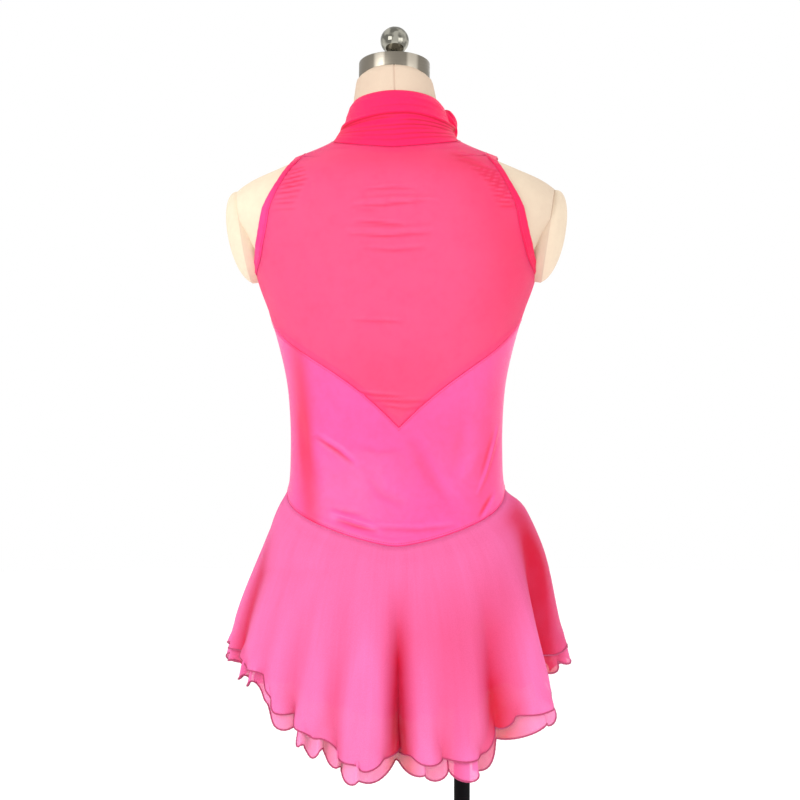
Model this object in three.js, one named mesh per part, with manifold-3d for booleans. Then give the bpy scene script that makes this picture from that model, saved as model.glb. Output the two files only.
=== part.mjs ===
// A sleeveless figure-skating dress with a ruched high collar, a sheer back and a two-layer flared skirt, on
// a limbless dress form and its stand.
//
// Millimetres, +Z up. The front of the dress faces +Y and the wearer's right is +X. The origin is the middle
// of the underside of the stand's base. A "turn" is an angle round the body, in radians: 0 at the centre back
// (-Y) and a quarter turn at the wearer's right side (+X).

import * as THREE from "three";
import Module from "manifold-3d";
import { mergeVertices } from "three/addons/utils/BufferGeometryUtils.js";

const wasm = await Module();
wasm.setup();

// ---------------------------------------------------------------- driving dimensions

const SEAM_GAP = 0.5; // between two panels along their seam
const SLACK = 3.3; // by which the form is smaller than the shape it gives the dress
const EASE = 0.8; // between that shape and the cloth
const BODICE_CLOTH = 1.2; // thickness of the bodice and collar walls
const SKIRT_CLOTH = 1.0; // thickness of the skirt and briefs walls
const LAYER_GAP = 0.4; // between two walls that lie on each other

const SIDE_TURN = Math.PI / 2; // the side seams
const CENTRE_BACK = 0;
const CENTRE_FRONT = Math.PI;

// The dress form: horizontal sections of its torso, from the hips up to the neck. half is the half width,
// back and front are depths from the section's middle, lean moves that middle forward, and square is the
// exponent of the section's outline, 2 for an ellipse.
const BODY = [
  { z: 715, half: 146, back: 114, front: 90, lean: 0, square: 2.3 },
  { z: 739, half: 143, back: 112, front: 92, lean: 0, square: 2.3 },
  { z: 762, half: 137, back: 104, front: 92, lean: 0, square: 2.3 },
  { z: 784, half: 130, back: 95, front: 91, lean: 0, square: 2.3 },
  { z: 824, half: 119.5, back: 82, front: 88, lean: 0, square: 2.25 },
  { z: 860, half: 117.5, back: 76, front: 86, lean: 0, square: 2.2 },
  { z: 900, half: 118, back: 79, front: 89, lean: 0, square: 2.2 },
  { z: 940, half: 121.5, back: 86, front: 95, lean: 0, square: 2.25 },
  { z: 980, half: 130, back: 95, front: 101, lean: 0, square: 2.3 },
  { z: 1020, half: 142, back: 102, front: 104, lean: 0, square: 2.3 },
  { z: 1044, half: 151, back: 105, front: 102, lean: 0, square: 2.35 },
  { z: 1060, half: 156, back: 106, front: 99, lean: 0, square: 2.35 },
  { z: 1078, half: 160.5, back: 106, front: 92, lean: 0, square: 2.4 },
  { z: 1096, half: 172, back: 105, front: 84, lean: 0, square: 2.4 },
  { z: 1127, half: 190, back: 101, front: 70, lean: 0, square: 2.4 },
  { z: 1146, half: 189, back: 95.5, front: 63, lean: 0, square: 2.4 },
  { z: 1157, half: 181, back: 91.5, front: 60, lean: 0, square: 2.35 },
  { z: 1169, half: 164, back: 86, front: 57, lean: 0, square: 2.3 },
  { z: 1180, half: 140, back: 79, front: 54, lean: 0, square: 2.25 },
  { z: 1191, half: 115, back: 71, front: 52, lean: 1, square: 2.15 },
  { z: 1203, half: 85.5, back: 63.5, front: 50, lean: 2, square: 2.05 },
  { z: 1214, half: 65, back: 57, front: 49, lean: 3, square: 2 },
  { z: 1226, half: 54.5, back: 52, front: 48, lean: 4.5, square: 2 },
  { z: 1240, half: 50, back: 48.5, front: 47, lean: 6, square: 2 },
  { z: 1262, half: 46.5, back: 46, front: 46, lean: 9, square: 2 },
  { z: 1285, half: 42.5, back: 42.5, front: 42.5, lean: 12, square: 2 },
  { z: 1305, half: 39, back: 39, front: 39, lean: 14, square: 2 },
];
const HIP_Z = BODY[0].z; // the widest level of the hips; below it the torso ends in a bowl
const BOWL_DEPTH = 77;
const BUST = { turn: 2.5, z: 992, lift: 18, spread: 0.38, above: 58, below: 46 };
const NECK_TOP_Z = 1287;
const NECK_SHIFT = -3; // by which the neck's top stands to one side
const NECK_TILT = THREE.MathUtils.degToRad(12); // the neck's top and the collar slope down to the front
const TORSO_COLUMNS = 36;
const TORSO_BOWL_ANGLES = [78, 58, 38, 18]; // degrees below the hip level
const TORSO_LEVELS = [
  715, 742, 768, 795, 824, 856, 890, 922, 948, 970, 992, 1016, 1042, 1070, 1098, 1127, 1143, 1157, 1169, 1180,
  1191, 1203, 1214, 1228, 1252, NECK_TOP_Z,
];

// The flat plates at the shoulders, where arms would join, and the rounded caps on them.
const PLATE = { z: 1056, half: 163, slope: 0.149 }; // half is the plate's distance from the middle at z
const CAP = { z: 1104, y: -4, height: 51.5, depth: 43, bulge: 19.5, rise: 5, tip: 0.12 };
const CAP_COLUMNS = 18;
const CAP_RINGS = 5;

// The neck's metal cap and its ball.
const NECK_CAP = { radius: 39, height: 15, bevel: 1.2 };
const BALL = { radius: 16.5, stem: 6, stemHeight: 13, flange: 2, sunk: 2 };

// The stand.
const BASE = { radius: 210, height: 8, bevel: 2 };
const POLE = { x: 74, radius: 9, top: 696, socketTop: 700, play: 0.3, cutBelow: 20 };
const HUB = { radius: 24, height: 30, bevel: 3 };

// The bodice's seams, as heights at the centre back, the sides and the centre front. A bend is the share of
// the rise from a centre to a side that is even; the rest of it grows with the square of the distance.
const WAIST_SEAM = { back: 761.5, side: 821, front: 768, backBend: 0.5, frontBend: 0.5 };
const V_SEAM = { back: 889.6, side: 1016, backBend: 1 }; // the lower edge of the sheer back
const NECK_SEAM = { back: 1198, side: 1214, front: 1181, backBend: 0.4, frontBend: 1.45 };
// The armholes: half is half the height, and the widths are in radians from the side seam at mid-height. taper
// and swell change them below and above it, and squareTop is the exponent of the upper half's outline.
const ARMHOLE = { z: 1129, half: 63, backWidth: 0.49, frontWidth: 0.4, taper: 0.1, swell: 0.2, squareTop: 2.7 };
const ARMHOLE_STEPS = 8;
const BODICE_COLUMNS = 20;
const BINDING = { width: 9.5, thickness: 1, segments: 32, gap: 0.8 };

// The collar. Its folds are the alternate rows of the table: up is the height as a share of the collar's, off
// is how far the cloth stands off the neck, and gather is the height to which the row runs at the knot.
const COLLAR = { topSide: 1251, topRise: 10.8, columns: 40, thickness: 1.1 };
const COLLAR_ROWS = [
  { up: 0.0, off: 0.0, gather: 0.0 },
  { up: 0.06, off: 4.0, gather: 0.14 },
  { up: 0.12, off: 2.6, gather: 0.19 },
  { up: 0.19, off: 5.4, gather: 0.24 },
  { up: 0.27, off: 3.4, gather: 0.29 },
  { up: 0.34, off: 6.2, gather: 0.34 },
  { up: 0.42, off: 4.2, gather: 0.38 },
  { up: 0.49, off: 6.8, gather: 0.43 },
  { up: 0.57, off: 4.8, gather: 0.48 },
  { up: 0.67, off: 6.6, gather: 0.56 },
  { up: 0.83, off: 5.2, gather: 0.78 },
  { up: 1.0, off: 0.2, gather: 1.0 },
];
const KNOT = { turn: 1.86, up: 0.53, off: 6, reach: 9, wide: 16, tall: 18.5, spread: 0.5 };
const KNOT_PLEATS = { count: 5, depth: 0.13, twist: 2 };
const KNOT_RINGS = [-0.94, -0.75, -0.45, -0.1, 0.25, 0.58, 0.84, 0.96]; // shares of half its height
const KNOT_COLUMNS = 15;

// The skirt. A flute's valley lies at turn, in degrees; it is depth deep at the hem, starts at a share of the
// cloth's length below the seam, and is width degrees from its middle to where it is mostly gone.
const SKIRT = {
  underExtra: 15,
  hipMargin: 4.6, // by which it stands off the hips
  spreadSteep: 26.5, // the part of the flare that comes from the hips, and how soon
  spreadOver: 68,
  spreadRate: 0.22, // the part that goes on down to the hem
  dropStart: 0.87, // the fall of each millimetre of cloth at the seam, and what each millimetre adds to it
  dropGain: 0.00031,
  seamDrop: 2, // by which the layers' tops lie under the bodice's edge
  sway: 7, // to the wearer's right, in the upper part
  valleyRise: 0.35, // of the hem, for each millimetre of a flute's depth
  layerSpread: 3.4, // by which the two layers part towards the hem
  sideGap: 0.8, // between the back and the front half
  columns: 32, // in half the skirt, above its hem; the hem has twice as many
};
const SKIRT_UPPER_ROWS = [0, 0.14, 0.32, 0.54, 0.75]; // shares of the outer layer's length
const SKIRT_HEM_ROWS = [0.9, 1];
// The length of the outer layer's cloth round the body.
const HEM = [
  { turn: -90, length: 189 },
  { turn: -58, length: 190 },
  { turn: -41, length: 223 },
  { turn: -24, length: 224 },
  { turn: -15, length: 237 },
  { turn: 34, length: 239 },
  { turn: 41, length: 221 },
  { turn: 53, length: 203 },
  { turn: 60, length: 199 },
  { turn: 88, length: 187 },
  { turn: 125, length: 205 },
  { turn: 152, length: 222 },
  { turn: 180, length: 232 },
  { turn: 206, length: 224 },
  { turn: 238, length: 208 },
];
const RUFFLE = { waves: 30, from: 0.84, reach: 5.5, lift: 3.5, drift: 0.9 };
const FLUTES = [
  { turn: -2, depth: 44, start: 0.15, width: 6.5 },
  { turn: 14, depth: 17, start: 0.42, width: 5.5 },
  { turn: 39, depth: 24, start: 0.34, width: 5.5 },
  { turn: 55, depth: -22, start: 0.3, width: 7 },
  { turn: 71, depth: 46, start: -0.05, width: 8 },
  { turn: 112, depth: 26, start: 0.3, width: 8.5 },
  { turn: 137, depth: 31, start: 0.36, width: 8 },
  { turn: 160, depth: 24, start: 0.4, width: 7 },
  { turn: 184, depth: 33, start: 0.28, width: 7.5 },
  { turn: 207, depth: 25, start: 0.42, width: 7 },
  { turn: 231, depth: 30, start: 0.33, width: 8 },
  { turn: 252, depth: 27, start: 0.36, width: 7.5 },
  { turn: 297, depth: 44, start: 0.15, width: 8 },
  { turn: 323, depth: 25, start: 0.4, width: 7.5 },
  { turn: 342, depth: 20, start: 0.4, width: 6 },
];

// The briefs under the skirt, and the egg that each leg opening is cut with.
const BRIEFS = { columns: 36, wallRows: 3, bowlAngles: [18, 38, 58, 74], openTop: 5 };
const LEG_OPENING = { x: 132, z: 590, across: 98, deep: 140, tall: 128 };

const COLOURS = {
  sheer: { color: 0xfb4f86, roughness: 0.7 },
  spandex: { color: 0xf4529c, roughness: 0.42 },
  chiffon: { color: 0xff69a8, roughness: 0.75 },
  jersey: { color: 0xf3dcc0, roughness: 0.85 },
  steel: { color: 0xa39d94, roughness: 0.35, metalness: 1 },
  chrome: { color: 0xd8d8d8, roughness: 0.08, metalness: 1 },
  blackPaint: { color: 0x141214, roughness: 0.4, metalness: 0.3 },
};

// ---------------------------------------------------------------- closed geometry from rows of points

/** A closed, outward-facing BufferGeometry from flat positions and triangle corners. */
function closedGeometry(points, faces) {
  const corner = (i) => points[i];
  let volume = 0;
  for (let i = 0; i < faces.length; i += 3) {
    const [a, b, c] = [corner(faces[i]), corner(faces[i + 1]), corner(faces[i + 2])];
    volume += a.dot(new THREE.Vector3().crossVectors(b, c));
  }
  const outward = volume > 0 ? faces : faces.toReversed();
  return new THREE.BufferGeometry().setFromPoints(points).setIndex(outward);
}

/**
 * A cloth wall. Each row is a list of { outer, inner } points across the cloth, and a row may have twice as
 * many spaces between its points as the row before it. A closed wall's rows run all the way round.
 */
function wallGeometry(rows, closed = false) {
  const points = [];
  const faces = [];
  const outer = [];
  const inner = [];
  for (const row of rows) {
    outer.push(row.map((pair) => points.push(pair.outer) - 1));
    inner.push(row.map((pair) => points.push(pair.inner) - 1));
    if (closed) {
      outer.at(-1).push(outer.at(-1)[0]);
      inner.at(-1).push(inner.at(-1)[0]);
    }
  }
  const quad = (a, b, c, d) => faces.push(a, b, c, a, c, d);
  const fan = (ring, hub) => {
    const corner = (k) => ring[(hub + k) % ring.length];
    for (let k = 1; k + 1 < ring.length; k++) faces.push(corner(0), corner(k), corner(k + 1));
  };
  // Both sides of the wall are split along the same diagonals, the shorter ones.
  const band = (r) => {
    const step = (outer[r + 1].length - 1) / (outer[r].length - 1);
    const ringOf = (side, i) => [
      side[r][i],
      ...side[r + 1].slice(i * step, (i + 1) * step + 1),
      side[r][i + 1],
    ];
    for (let i = 0; i + 1 < outer[r].length; i++) {
      const ring = ringOf(outer, i);
      const [a, b, c, d] = ring.map((k) => points[k]);
      const hub = step > 1 ? 2 : Number(a.distanceTo(c) > b.distanceTo(d));
      fan(ring, hub);
      fan(ringOf(inner, i).reverse(), ring.length - 1 - hub);
    }
  };
  const edge = (row, other, reverse) => {
    for (let i = 0; i + 1 < row.length; i++)
      if (reverse) quad(row[i + 1], row[i], other[i], other[i + 1]);
      else quad(row[i], row[i + 1], other[i + 1], other[i]);
  };
  for (let r = 0; r + 1 < rows.length; r++) band(r);
  edge(outer[0], inner[0], false);
  edge(outer.at(-1), inner.at(-1), true);
  if (!closed) {
    edge(outer.map((row) => row[0]), inner.map((row) => row[0]), true);
    edge(outer.map((row) => row.at(-1)), inner.map((row) => row.at(-1)), false);
  }
  return closedGeometry(points, faces);
}

/** A solid through closed rings of points, with a middle point at each end. */
function loftGeometry(rings) {
  const points = rings.flat();
  const faces = [];
  const columns = rings[0].length;
  for (let r = 0; r + 1 < rings.length; r++)
    for (let c = 0; c < columns; c++) {
      const a = r * columns + c;
      const b = r * columns + ((c + 1) % columns);
      faces.push(a, b, b + columns, a, b + columns, a + columns);
    }
  const cap = (start, flip) => {
    const middle = new THREE.Vector3();
    for (let c = 0; c < columns; c++) middle.addScaledVector(points[start + c], 1 / columns);
    const hub = points.push(middle) - 1;
    for (let c = 0; c < columns; c++) {
      const [a, b] = [start + c, start + ((c + 1) % columns)];
      faces.push(...(flip ? [hub, b, a] : [hub, a, b]));
    }
  };
  cap(0, true);
  cap((rings.length - 1) * columns, false);
  return closedGeometry(points, faces);
}

/** A turned solid about +Z from a profile of [radius, height] pairs. */
function turnedGeometry(profile, segments) {
  const outline = profile.map(([radius, height]) => new THREE.Vector2(radius, height));
  return new THREE.LatheGeometry(outline, segments).rotateX(Math.PI / 2);
}

/** The manifold-3d solid of a closed geometry. */
function solidOf(geometry) {
  const bare = geometry.clone();
  bare.deleteAttribute("normal");
  bare.deleteAttribute("uv");
  const merged = mergeVertices(bare, 1e-4);
  return new wasm.Manifold(
    new wasm.Mesh({
      numProp: 3,
      vertProperties: merged.attributes.position.array,
      triVerts: new Uint32Array(merged.index.array),
    }),
  );
}

/** The first geometry with the others cut away from it. */
function cutAway(geometry, ...cutters) {
  let solid = solidOf(geometry);
  for (const cutter of cutters) solid = solid.subtract(solidOf(cutter));
  const mesh = solid.getMesh();
  return new THREE.BufferGeometry()
    .setAttribute("position", new THREE.BufferAttribute(mesh.vertProperties, 3))
    .setIndex([...mesh.triVerts]);
}

// ---------------------------------------------------------------- the body's surface

const BODY_COLUMNS = ["half", "back", "front", "lean", "square"];
const bodySizes = new THREE.CubicInterpolant(
  BODY.map((row) => row.z),
  BODY.flatMap((row) => BODY_COLUMNS.map((column) => row[column])),
  BODY_COLUMNS.length,
);

const smooth = (from, to, x) => THREE.MathUtils.smoothstep(x, from, to);
const onFront = (turn) => Math.cos(turn) < 0;
const steps = (count) => Array.from({ length: count + 1 }, (_, i) => i / count);

/** A turn brought between minus and plus half a turn. */
function wrapped(turn) {
  return Math.atan2(Math.sin(turn), Math.cos(turn));
}

/** How far the bust lifts the front of the torso, at a turn and height. */
function bustLift(turn, z) {
  const aside = (Math.abs(wrapped(turn)) - BUST.turn) / BUST.spread;
  const away = (z - BUST.z) / (z > BUST.z ? BUST.above : BUST.below);
  return BUST.lift * Math.exp(-aside * aside - away * away);
}

/** The torso's radius from its section's middle at a turn and height, no lower than the hips. */
function bodyRadius(turn, z) {
  const [half, back, front, , square] = bodySizes.evaluate(z);
  const depth = onFront(turn) ? front : back;
  const across = Math.abs(Math.sin(turn) / half) ** square;
  const along = Math.abs(Math.cos(turn) / depth) ** square;
  return (across + along) ** (-1 / square) + bustLift(turn, z);
}

/** The point at a turn, height and radius from the body's middle line. */
function around(turn, z, radius) {
  const lean = bodySizes.evaluate(Math.max(z, HIP_Z))[3];
  return new THREE.Vector3(radius * Math.sin(turn), lean - radius * Math.cos(turn), z);
}

const onBody = (turn, z) => around(turn, z, bodyRadius(turn, z));

/** A point of the bowl under the hips, at an angle below the hip level, grown by a distance. */
function onBowl(turn, angle, grown) {
  const radius = (bodyRadius(turn, HIP_Z) + grown) * Math.cos(angle);
  return around(turn, HIP_Z - (BOWL_DEPTH + grown) * Math.sin(angle), radius);
}

/** The point of surface(turn, down) moved out from the body along the surface's normal. */
function movedOut(surface, turn, down, distance) {
  const alongTurn = surface(turn + 1e-3, down).sub(surface(turn - 1e-3, down));
  const alongDown = surface(turn, down + 0.05).sub(surface(turn, down - 0.05));
  const normal = new THREE.Vector3().crossVectors(alongTurn, alongDown).normalize();
  const outward = new THREE.Vector3(Math.sin(turn), -Math.cos(turn), 0);
  if (normal.dot(outward) < 0) normal.negate();
  return surface(turn, down).addScaledVector(normal, distance);
}

/** A pair of wall points on the body, from its surface, the wall's inner distance and its thickness. */
function bodyPair(turn, z, distance, thickness) {
  return {
    inner: movedOut(onBody, turn, z, distance),
    outer: movedOut(onBody, turn, z, distance + thickness),
  };
}

// ---------------------------------------------------------------- the dress's seam lines

/** A seam's height at a turn. */
function seamHeight(seam, turn) {
  const share = Math.abs(wrapped(turn)) / SIDE_TURN;
  const fromBack = [seam.back, seam.backBend, share];
  const fromFront = [seam.front, seam.frontBend, 2 - share];
  const [centre, bend, near] = share <= 1 ? fromBack : fromFront;
  return centre + (seam.side - centre) * (bend * near + (1 - bend) * near * near);
}

const waistHeight = (turn) => seamHeight(WAIST_SEAM, turn);
const vHeight = (turn) => seamHeight(V_SEAM, turn);
const neckHeight = (turn) => seamHeight(NECK_SEAM, turn);

/** How far, in radians from the side, a panel's edge is cut back for the armhole at a height. */
function armholeCut(z, width) {
  const q = THREE.MathUtils.clamp((z - ARMHOLE.z) / ARMHOLE.half, -1, 1);
  if (q < 0) return width * Math.sqrt(1 - q * q) * (1 + ARMHOLE.taper * q);
  return width * (1 - q ** ARMHOLE.squareTop) ** (1 / ARMHOLE.squareTop) * (1 + ARMHOLE.swell * q);
}

const ARMHOLE_LEVELS = steps(ARMHOLE_STEPS).map((t) => ARMHOLE.z - ARMHOLE.half * Math.cos(Math.PI * t));
const SHOULDER_LEVELS = [1203, NECK_SEAM.side];
const LEVEL_BAND = [ARMHOLE_LEVELS[0], ARMHOLE_LEVELS.at(-3)]; // the panels' rows are level between these

/**
 * A bodice panel between two seam lines, as wall rows from the bottom up. levels are the heights of its rows
 * at the side seam, middle is the panel's centre turn, and armhole is the width of its armhole cut, if it has
 * one. Between the two heights of straight, the rows stay level all the way across.
 */
function panelRows({ lower, upper, levels, middle, armhole = 0, straight = [] }) {
  const atSides = [levels[0], ...straight, levels.at(-1)];
  return levels.map((level) => {
    const reach = SIDE_TURN - armholeCut(level, armhole);
    return steps(BODICE_COLUMNS).map((t) => {
      const share = 2 * t - 1; // -1 at one side seam, 1 at the other
      const seamTurn = middle + share * SIDE_TURN;
      const here = [lower(seamTurn) + SEAM_GAP / 2, ...straight, upper(seamTurn) - SEAM_GAP / 2];
      const z = new THREE.LinearInterpolant(atSides, here, 1).evaluate(level)[0];
      const gap = SEAM_GAP / 2 / bodyRadius(SIDE_TURN, z);
      return bodyPair(middle + share * (reach - gap), z, EASE, BODICE_CLOTH);
    });
  });
}

function sheerBack() {
  return wallGeometry(
    panelRows({
      lower: vHeight,
      upper: neckHeight,
      levels: [V_SEAM.side, 1027, 1038, 1048, 1057, ...ARMHOLE_LEVELS, ...SHOULDER_LEVELS],
      middle: CENTRE_BACK,
      armhole: ARMHOLE.backWidth,
      straight: LEVEL_BAND,
    }),
  );
}

function lowerBack() {
  const levels = [WAIST_SEAM.side, 856, 892, 928, 960, 988, V_SEAM.side];
  return wallGeometry(panelRows({ lower: waistHeight, upper: vHeight, levels, middle: CENTRE_BACK }));
}

function front() {
  const lowerLevels = [WAIST_SEAM.side, 854, 888, 920, 946, 968, 990, 1012, 1038];
  return wallGeometry(
    panelRows({
      lower: waistHeight,
      upper: neckHeight,
      levels: [...lowerLevels, ...ARMHOLE_LEVELS, ...SHOULDER_LEVELS],
      middle: CENTRE_FRONT,
      armhole: ARMHOLE.frontWidth,
      straight: LEVEL_BAND,
    }),
  );
}

/** The folded edge round one armhole: a band on the panels, from its line outwards. side is 1 or -1. */
function armholeBinding(side) {
  const distance = EASE + BODICE_CLOTH + BINDING.gap;
  const rows = [0, 0.5, 1].map((share) =>
    steps(BINDING.segments).slice(1).map((t) => {
      const angle = 2 * Math.PI * t;
      const grown = share * BINDING.width;
      const onLine = ARMHOLE.z + ARMHOLE.half * Math.sin(angle);
      const z = onLine + grown * Math.sin(angle);
      const [width, towards] = Math.cos(angle) > 0 ? [ARMHOLE.backWidth, 1] : [ARMHOLE.frontWidth, -1];
      const outwards = (grown * Math.cos(angle)) / bodyRadius(SIDE_TURN, ARMHOLE.z);
      const cut = towards * armholeCut(onLine, width) + outwards;
      return bodyPair(side * (SIDE_TURN - cut), z, distance, BINDING.thickness);
    }),
  );
  return wallGeometry(rows, true);
}

// ---------------------------------------------------------------- the collar

/** The height of the collar's top edge at a turn: it slopes down to the front with the neck. */
function collarTop(turn) {
  return COLLAR.topSide + COLLAR.topRise * Math.cos(turn);
}

/** How strongly the collar's folds are drawn together at a turn, from 0 to 1 at the knot. */
function gathering(turn) {
  const away = wrapped(turn - KNOT.turn) / KNOT.spread;
  return Math.exp(-away * away);
}

/** A pair of the collar's wall points. */
function collarPair(turn, row, extra = 0) {
  const share = THREE.MathUtils.lerp(row.up, row.gather, gathering(turn));
  const z = THREE.MathUtils.lerp(neckHeight(turn) + SEAM_GAP, collarTop(turn), share);
  return bodyPair(turn, z, EASE + row.off, COLLAR.thickness + extra);
}

function collar() {
  const turns = steps(COLLAR.columns).slice(1).map((t) => 2 * Math.PI * t);
  return wallGeometry(COLLAR_ROWS.map((row) => turns.map((turn) => collarPair(turn, row))), true);
}

/** The gathered knot on the collar at the wearer's right: a pleated lump, cut to sit on the collar. */
function collarKnot() {
  const middleRow = { up: KNOT.up, gather: KNOT.up, off: KNOT.off };
  const seat = collarPair(KNOT.turn, middleRow).outer;
  const turns = steps(COLLAR.columns).slice(1).map((t) => 2 * Math.PI * t);
  const envelope = loftGeometry(
    COLLAR_ROWS.map((row) => turns.map((turn) => collarPair(turn, row, 2 * LAYER_GAP).outer)),
  );
  const rings = KNOT_RINGS.map((height) =>
    steps(KNOT_COLUMNS).slice(1).map((t) => {
      const angle = 2 * Math.PI * t;
      const pleat = 1 + KNOT_PLEATS.depth * Math.cos(KNOT_PLEATS.count * angle + KNOT_PLEATS.twist * height);
      const girth = Math.sqrt(1 - height * height) * pleat;
      const outward = girth * KNOT.reach * Math.cos(angle);
      const aside = girth * KNOT.wide * Math.sin(angle);
      return new THREE.Vector3(
        seat.x + outward * Math.sin(KNOT.turn) + aside * Math.cos(KNOT.turn),
        seat.y - outward * Math.cos(KNOT.turn) + aside * Math.sin(KNOT.turn),
        seat.z + KNOT.tall * height,
      );
    }),
  );
  return cutAway(loftGeometry(rings), envelope);
}

// ---------------------------------------------------------------- the skirt

/** The length of the outer skirt's cloth at a turn. */
function skirtLength(turn) {
  const first = HEM[0].turn;
  const degrees = THREE.MathUtils.euclideanModulo(THREE.MathUtils.radToDeg(turn) - first, 360) + first;
  const after = HEM.findIndex((row) => row.turn > degrees);
  const from = HEM.at(after < 0 ? -1 : after - 1);
  const to = after < 0 ? { turn: first + 360, length: HEM[0].length } : HEM[after];
  return THREE.MathUtils.lerp(from.length, to.length, smooth(from.turn, to.turn, degrees));
}

/** How far the flutes' valleys draw the cloth in, at a turn and a share of its length. */
function fluteDepth(turn, share) {
  return FLUTES.reduce((sum, flute) => {
    const away = wrapped(turn - THREE.MathUtils.degToRad(flute.turn)) / THREE.MathUtils.degToRad(flute.width);
    return sum + flute.depth * smooth(flute.start, 1.15, share) * Math.exp(-away * away);
  }, 0);
}

/** The skirt's surface at a turn and a length down its cloth. */
function onSkirt(turn, down) {
  const seamZ = waistHeight(turn) - SEAM_GAP / 2 - SKIRT.seamDrop;
  const share = down / skirtLength(turn);
  const flare = SKIRT.spreadRate * down + SKIRT.spreadSteep * (1 - Math.exp(-down / SKIRT.spreadOver));
  const curl = smooth(RUFFLE.from, 1, share);
  const wave = RUFFLE.waves * turn + RUFFLE.drift * Math.sin(3 * turn + 1);
  const drop = down * (SKIRT.dropStart + SKIRT.dropGain * down);
  const valley = fluteDepth(turn, share);
  const z = seamZ - drop + SKIRT.valleyRise * valley + RUFFLE.lift * curl * Math.cos(wave);
  const sway = SKIRT.sway * smooth(0, 0.15, share) * (1 - smooth(0.35, 0.9, share)) * Math.sin(turn);
  const hanging = bodyRadius(turn, seamZ) + flare + sway - valley;
  const clear = hipClearance(turn, z) + SKIRT.hipMargin * smooth(0, 0.2, share);
  return around(turn, z, Math.max(hanging, clear) + RUFFLE.reach * curl * Math.sin(wave));
}

/** The radius that the skirt keeps outside the hips, at a turn and height. */
function hipClearance(turn, z) {
  const below = Math.max(0, HIP_Z - z) / BOWL_DEPTH;
  return below >= 1 ? 0 : bodyRadius(turn, Math.max(z, HIP_Z)) * Math.sqrt(1 - below * below);
}

/** Half of one skirt layer, its back or its front. inset is how far it lies inside the outer layer's top. */
function skirtHalf(middle, extra, inset) {
  const outermost = EASE + SKIRT_CLOTH * 3 + LAYER_GAP * 2;
  const half = SIDE_TURN - SKIRT.sideGap / 2 / bodyRadius(SIDE_TURN, HIP_Z);
  const row = (share, columns, further = 0) =>
    steps(columns).map((t) => {
      const turn = middle + (2 * t - 1) * half;
      const down = share * skirtLength(turn) + further;
      const out = outermost - inset * THREE.MathUtils.lerp(1, SKIRT.layerSpread, smooth(0, 0.45, share));
      return {
        outer: movedOut(onSkirt, turn, down, out),
        inner: movedOut(onSkirt, turn, down, out - SKIRT_CLOTH),
      };
    });
  return wallGeometry([
    ...SKIRT_UPPER_ROWS.map((share) => row(share, SKIRT.columns)),
    ...SKIRT_HEM_ROWS.map((share) => row(share, SKIRT.columns * 2)),
    ...(extra ? [row(1, SKIRT.columns * 2, extra)] : []),
  ]);
}

const LAYER_INSET = SKIRT_CLOTH + LAYER_GAP;
const outerSkirt = (middle) => skirtHalf(middle, 0, 0);
const underSkirt = (middle) => skirtHalf(middle, SKIRT.underExtra, LAYER_INSET);

// ---------------------------------------------------------------- the briefs

/** The briefs: a bowl of cloth from the waist seam down, with an egg-shaped cut for each leg. */
function briefs() {
  const turns = steps(BRIEFS.columns).slice(1).map((t) => 2 * Math.PI * t);
  const rings = (distance, top) => [
    ...steps(BRIEFS.wallRows).map((t) =>
      turns.map((turn) => {
        const z = THREE.MathUtils.lerp(waistHeight(turn) - SEAM_GAP + top, HIP_Z, t);
        return around(turn, z, bodyRadius(turn, z) + distance);
      }),
    ),
    ...BRIEFS.bowlAngles.map((angle) =>
      turns.map((turn) => onBowl(turn, THREE.MathUtils.degToRad(angle), distance)),
    ),
  ];
  const legs = [-1, 1].map((side) =>
    new THREE.SphereGeometry(1, 20, 12)
      .scale(LEG_OPENING.across, LEG_OPENING.deep, LEG_OPENING.tall)
      .translate(side * LEG_OPENING.x, 0, LEG_OPENING.z),
  );
  // The inner solid stands above the outer one, so that the top is open.
  const inside = loftGeometry(rings(EASE, BRIEFS.openTop));
  return cutAway(loftGeometry(rings(EASE + SKIRT_CLOTH, 0)), inside, ...legs);
}

// ---------------------------------------------------------------- the dress form and its stand

/** The distance of a shoulder plate from the middle, at a height. */
const plateDistance = (z) => PLATE.half + (z - PLATE.z) * PLATE.slope;

/** One ring of the torso. tilt is the share of the neck's slope that it has. */
function torsoRing(z, tilt) {
  return steps(TORSO_COLUMNS).slice(1).map((t) => {
    const turn = 2 * Math.PI * t;
    const point = movedOut(onBody, turn, z, -SLACK * (1 - smooth(NECK_SEAM.side, BODY.at(-2).z, z)));
    point.x += tilt * NECK_SHIFT;
    point.z += tilt * Math.tan(NECK_TILT) * bodyRadius(turn, z) * Math.cos(turn);
    if (z > PLATE.z) point.x = THREE.MathUtils.clamp(point.x, -plateDistance(z), plateDistance(z));
    return point;
  });
}

function torso() {
  const turns = steps(TORSO_COLUMNS).slice(1).map((t) => 2 * Math.PI * t);
  const bowl = TORSO_BOWL_ANGLES.map((angle) =>
    turns.map((turn) => onBowl(turn, THREE.MathUtils.degToRad(angle), -SLACK)),
  );
  const tiltFrom = NECK_SEAM.side;
  const trunk = TORSO_LEVELS.map((z) => torsoRing(z, Math.max(0, (z - tiltFrom) / (NECK_TOP_Z - tiltFrom))));
  const socketHeight = POLE.socketTop - (HIP_Z - BOWL_DEPTH) + POLE.cutBelow;
  const socketRadius = POLE.radius + POLE.play;
  const socket = new THREE.CylinderGeometry(socketRadius, socketRadius, socketHeight, 24)
    .rotateX(Math.PI / 2)
    .translate(POLE.x, 0, POLE.socketTop - socketHeight / 2);
  return cutAway(loftGeometry([...bowl, ...trunk]), socket);
}

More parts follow.
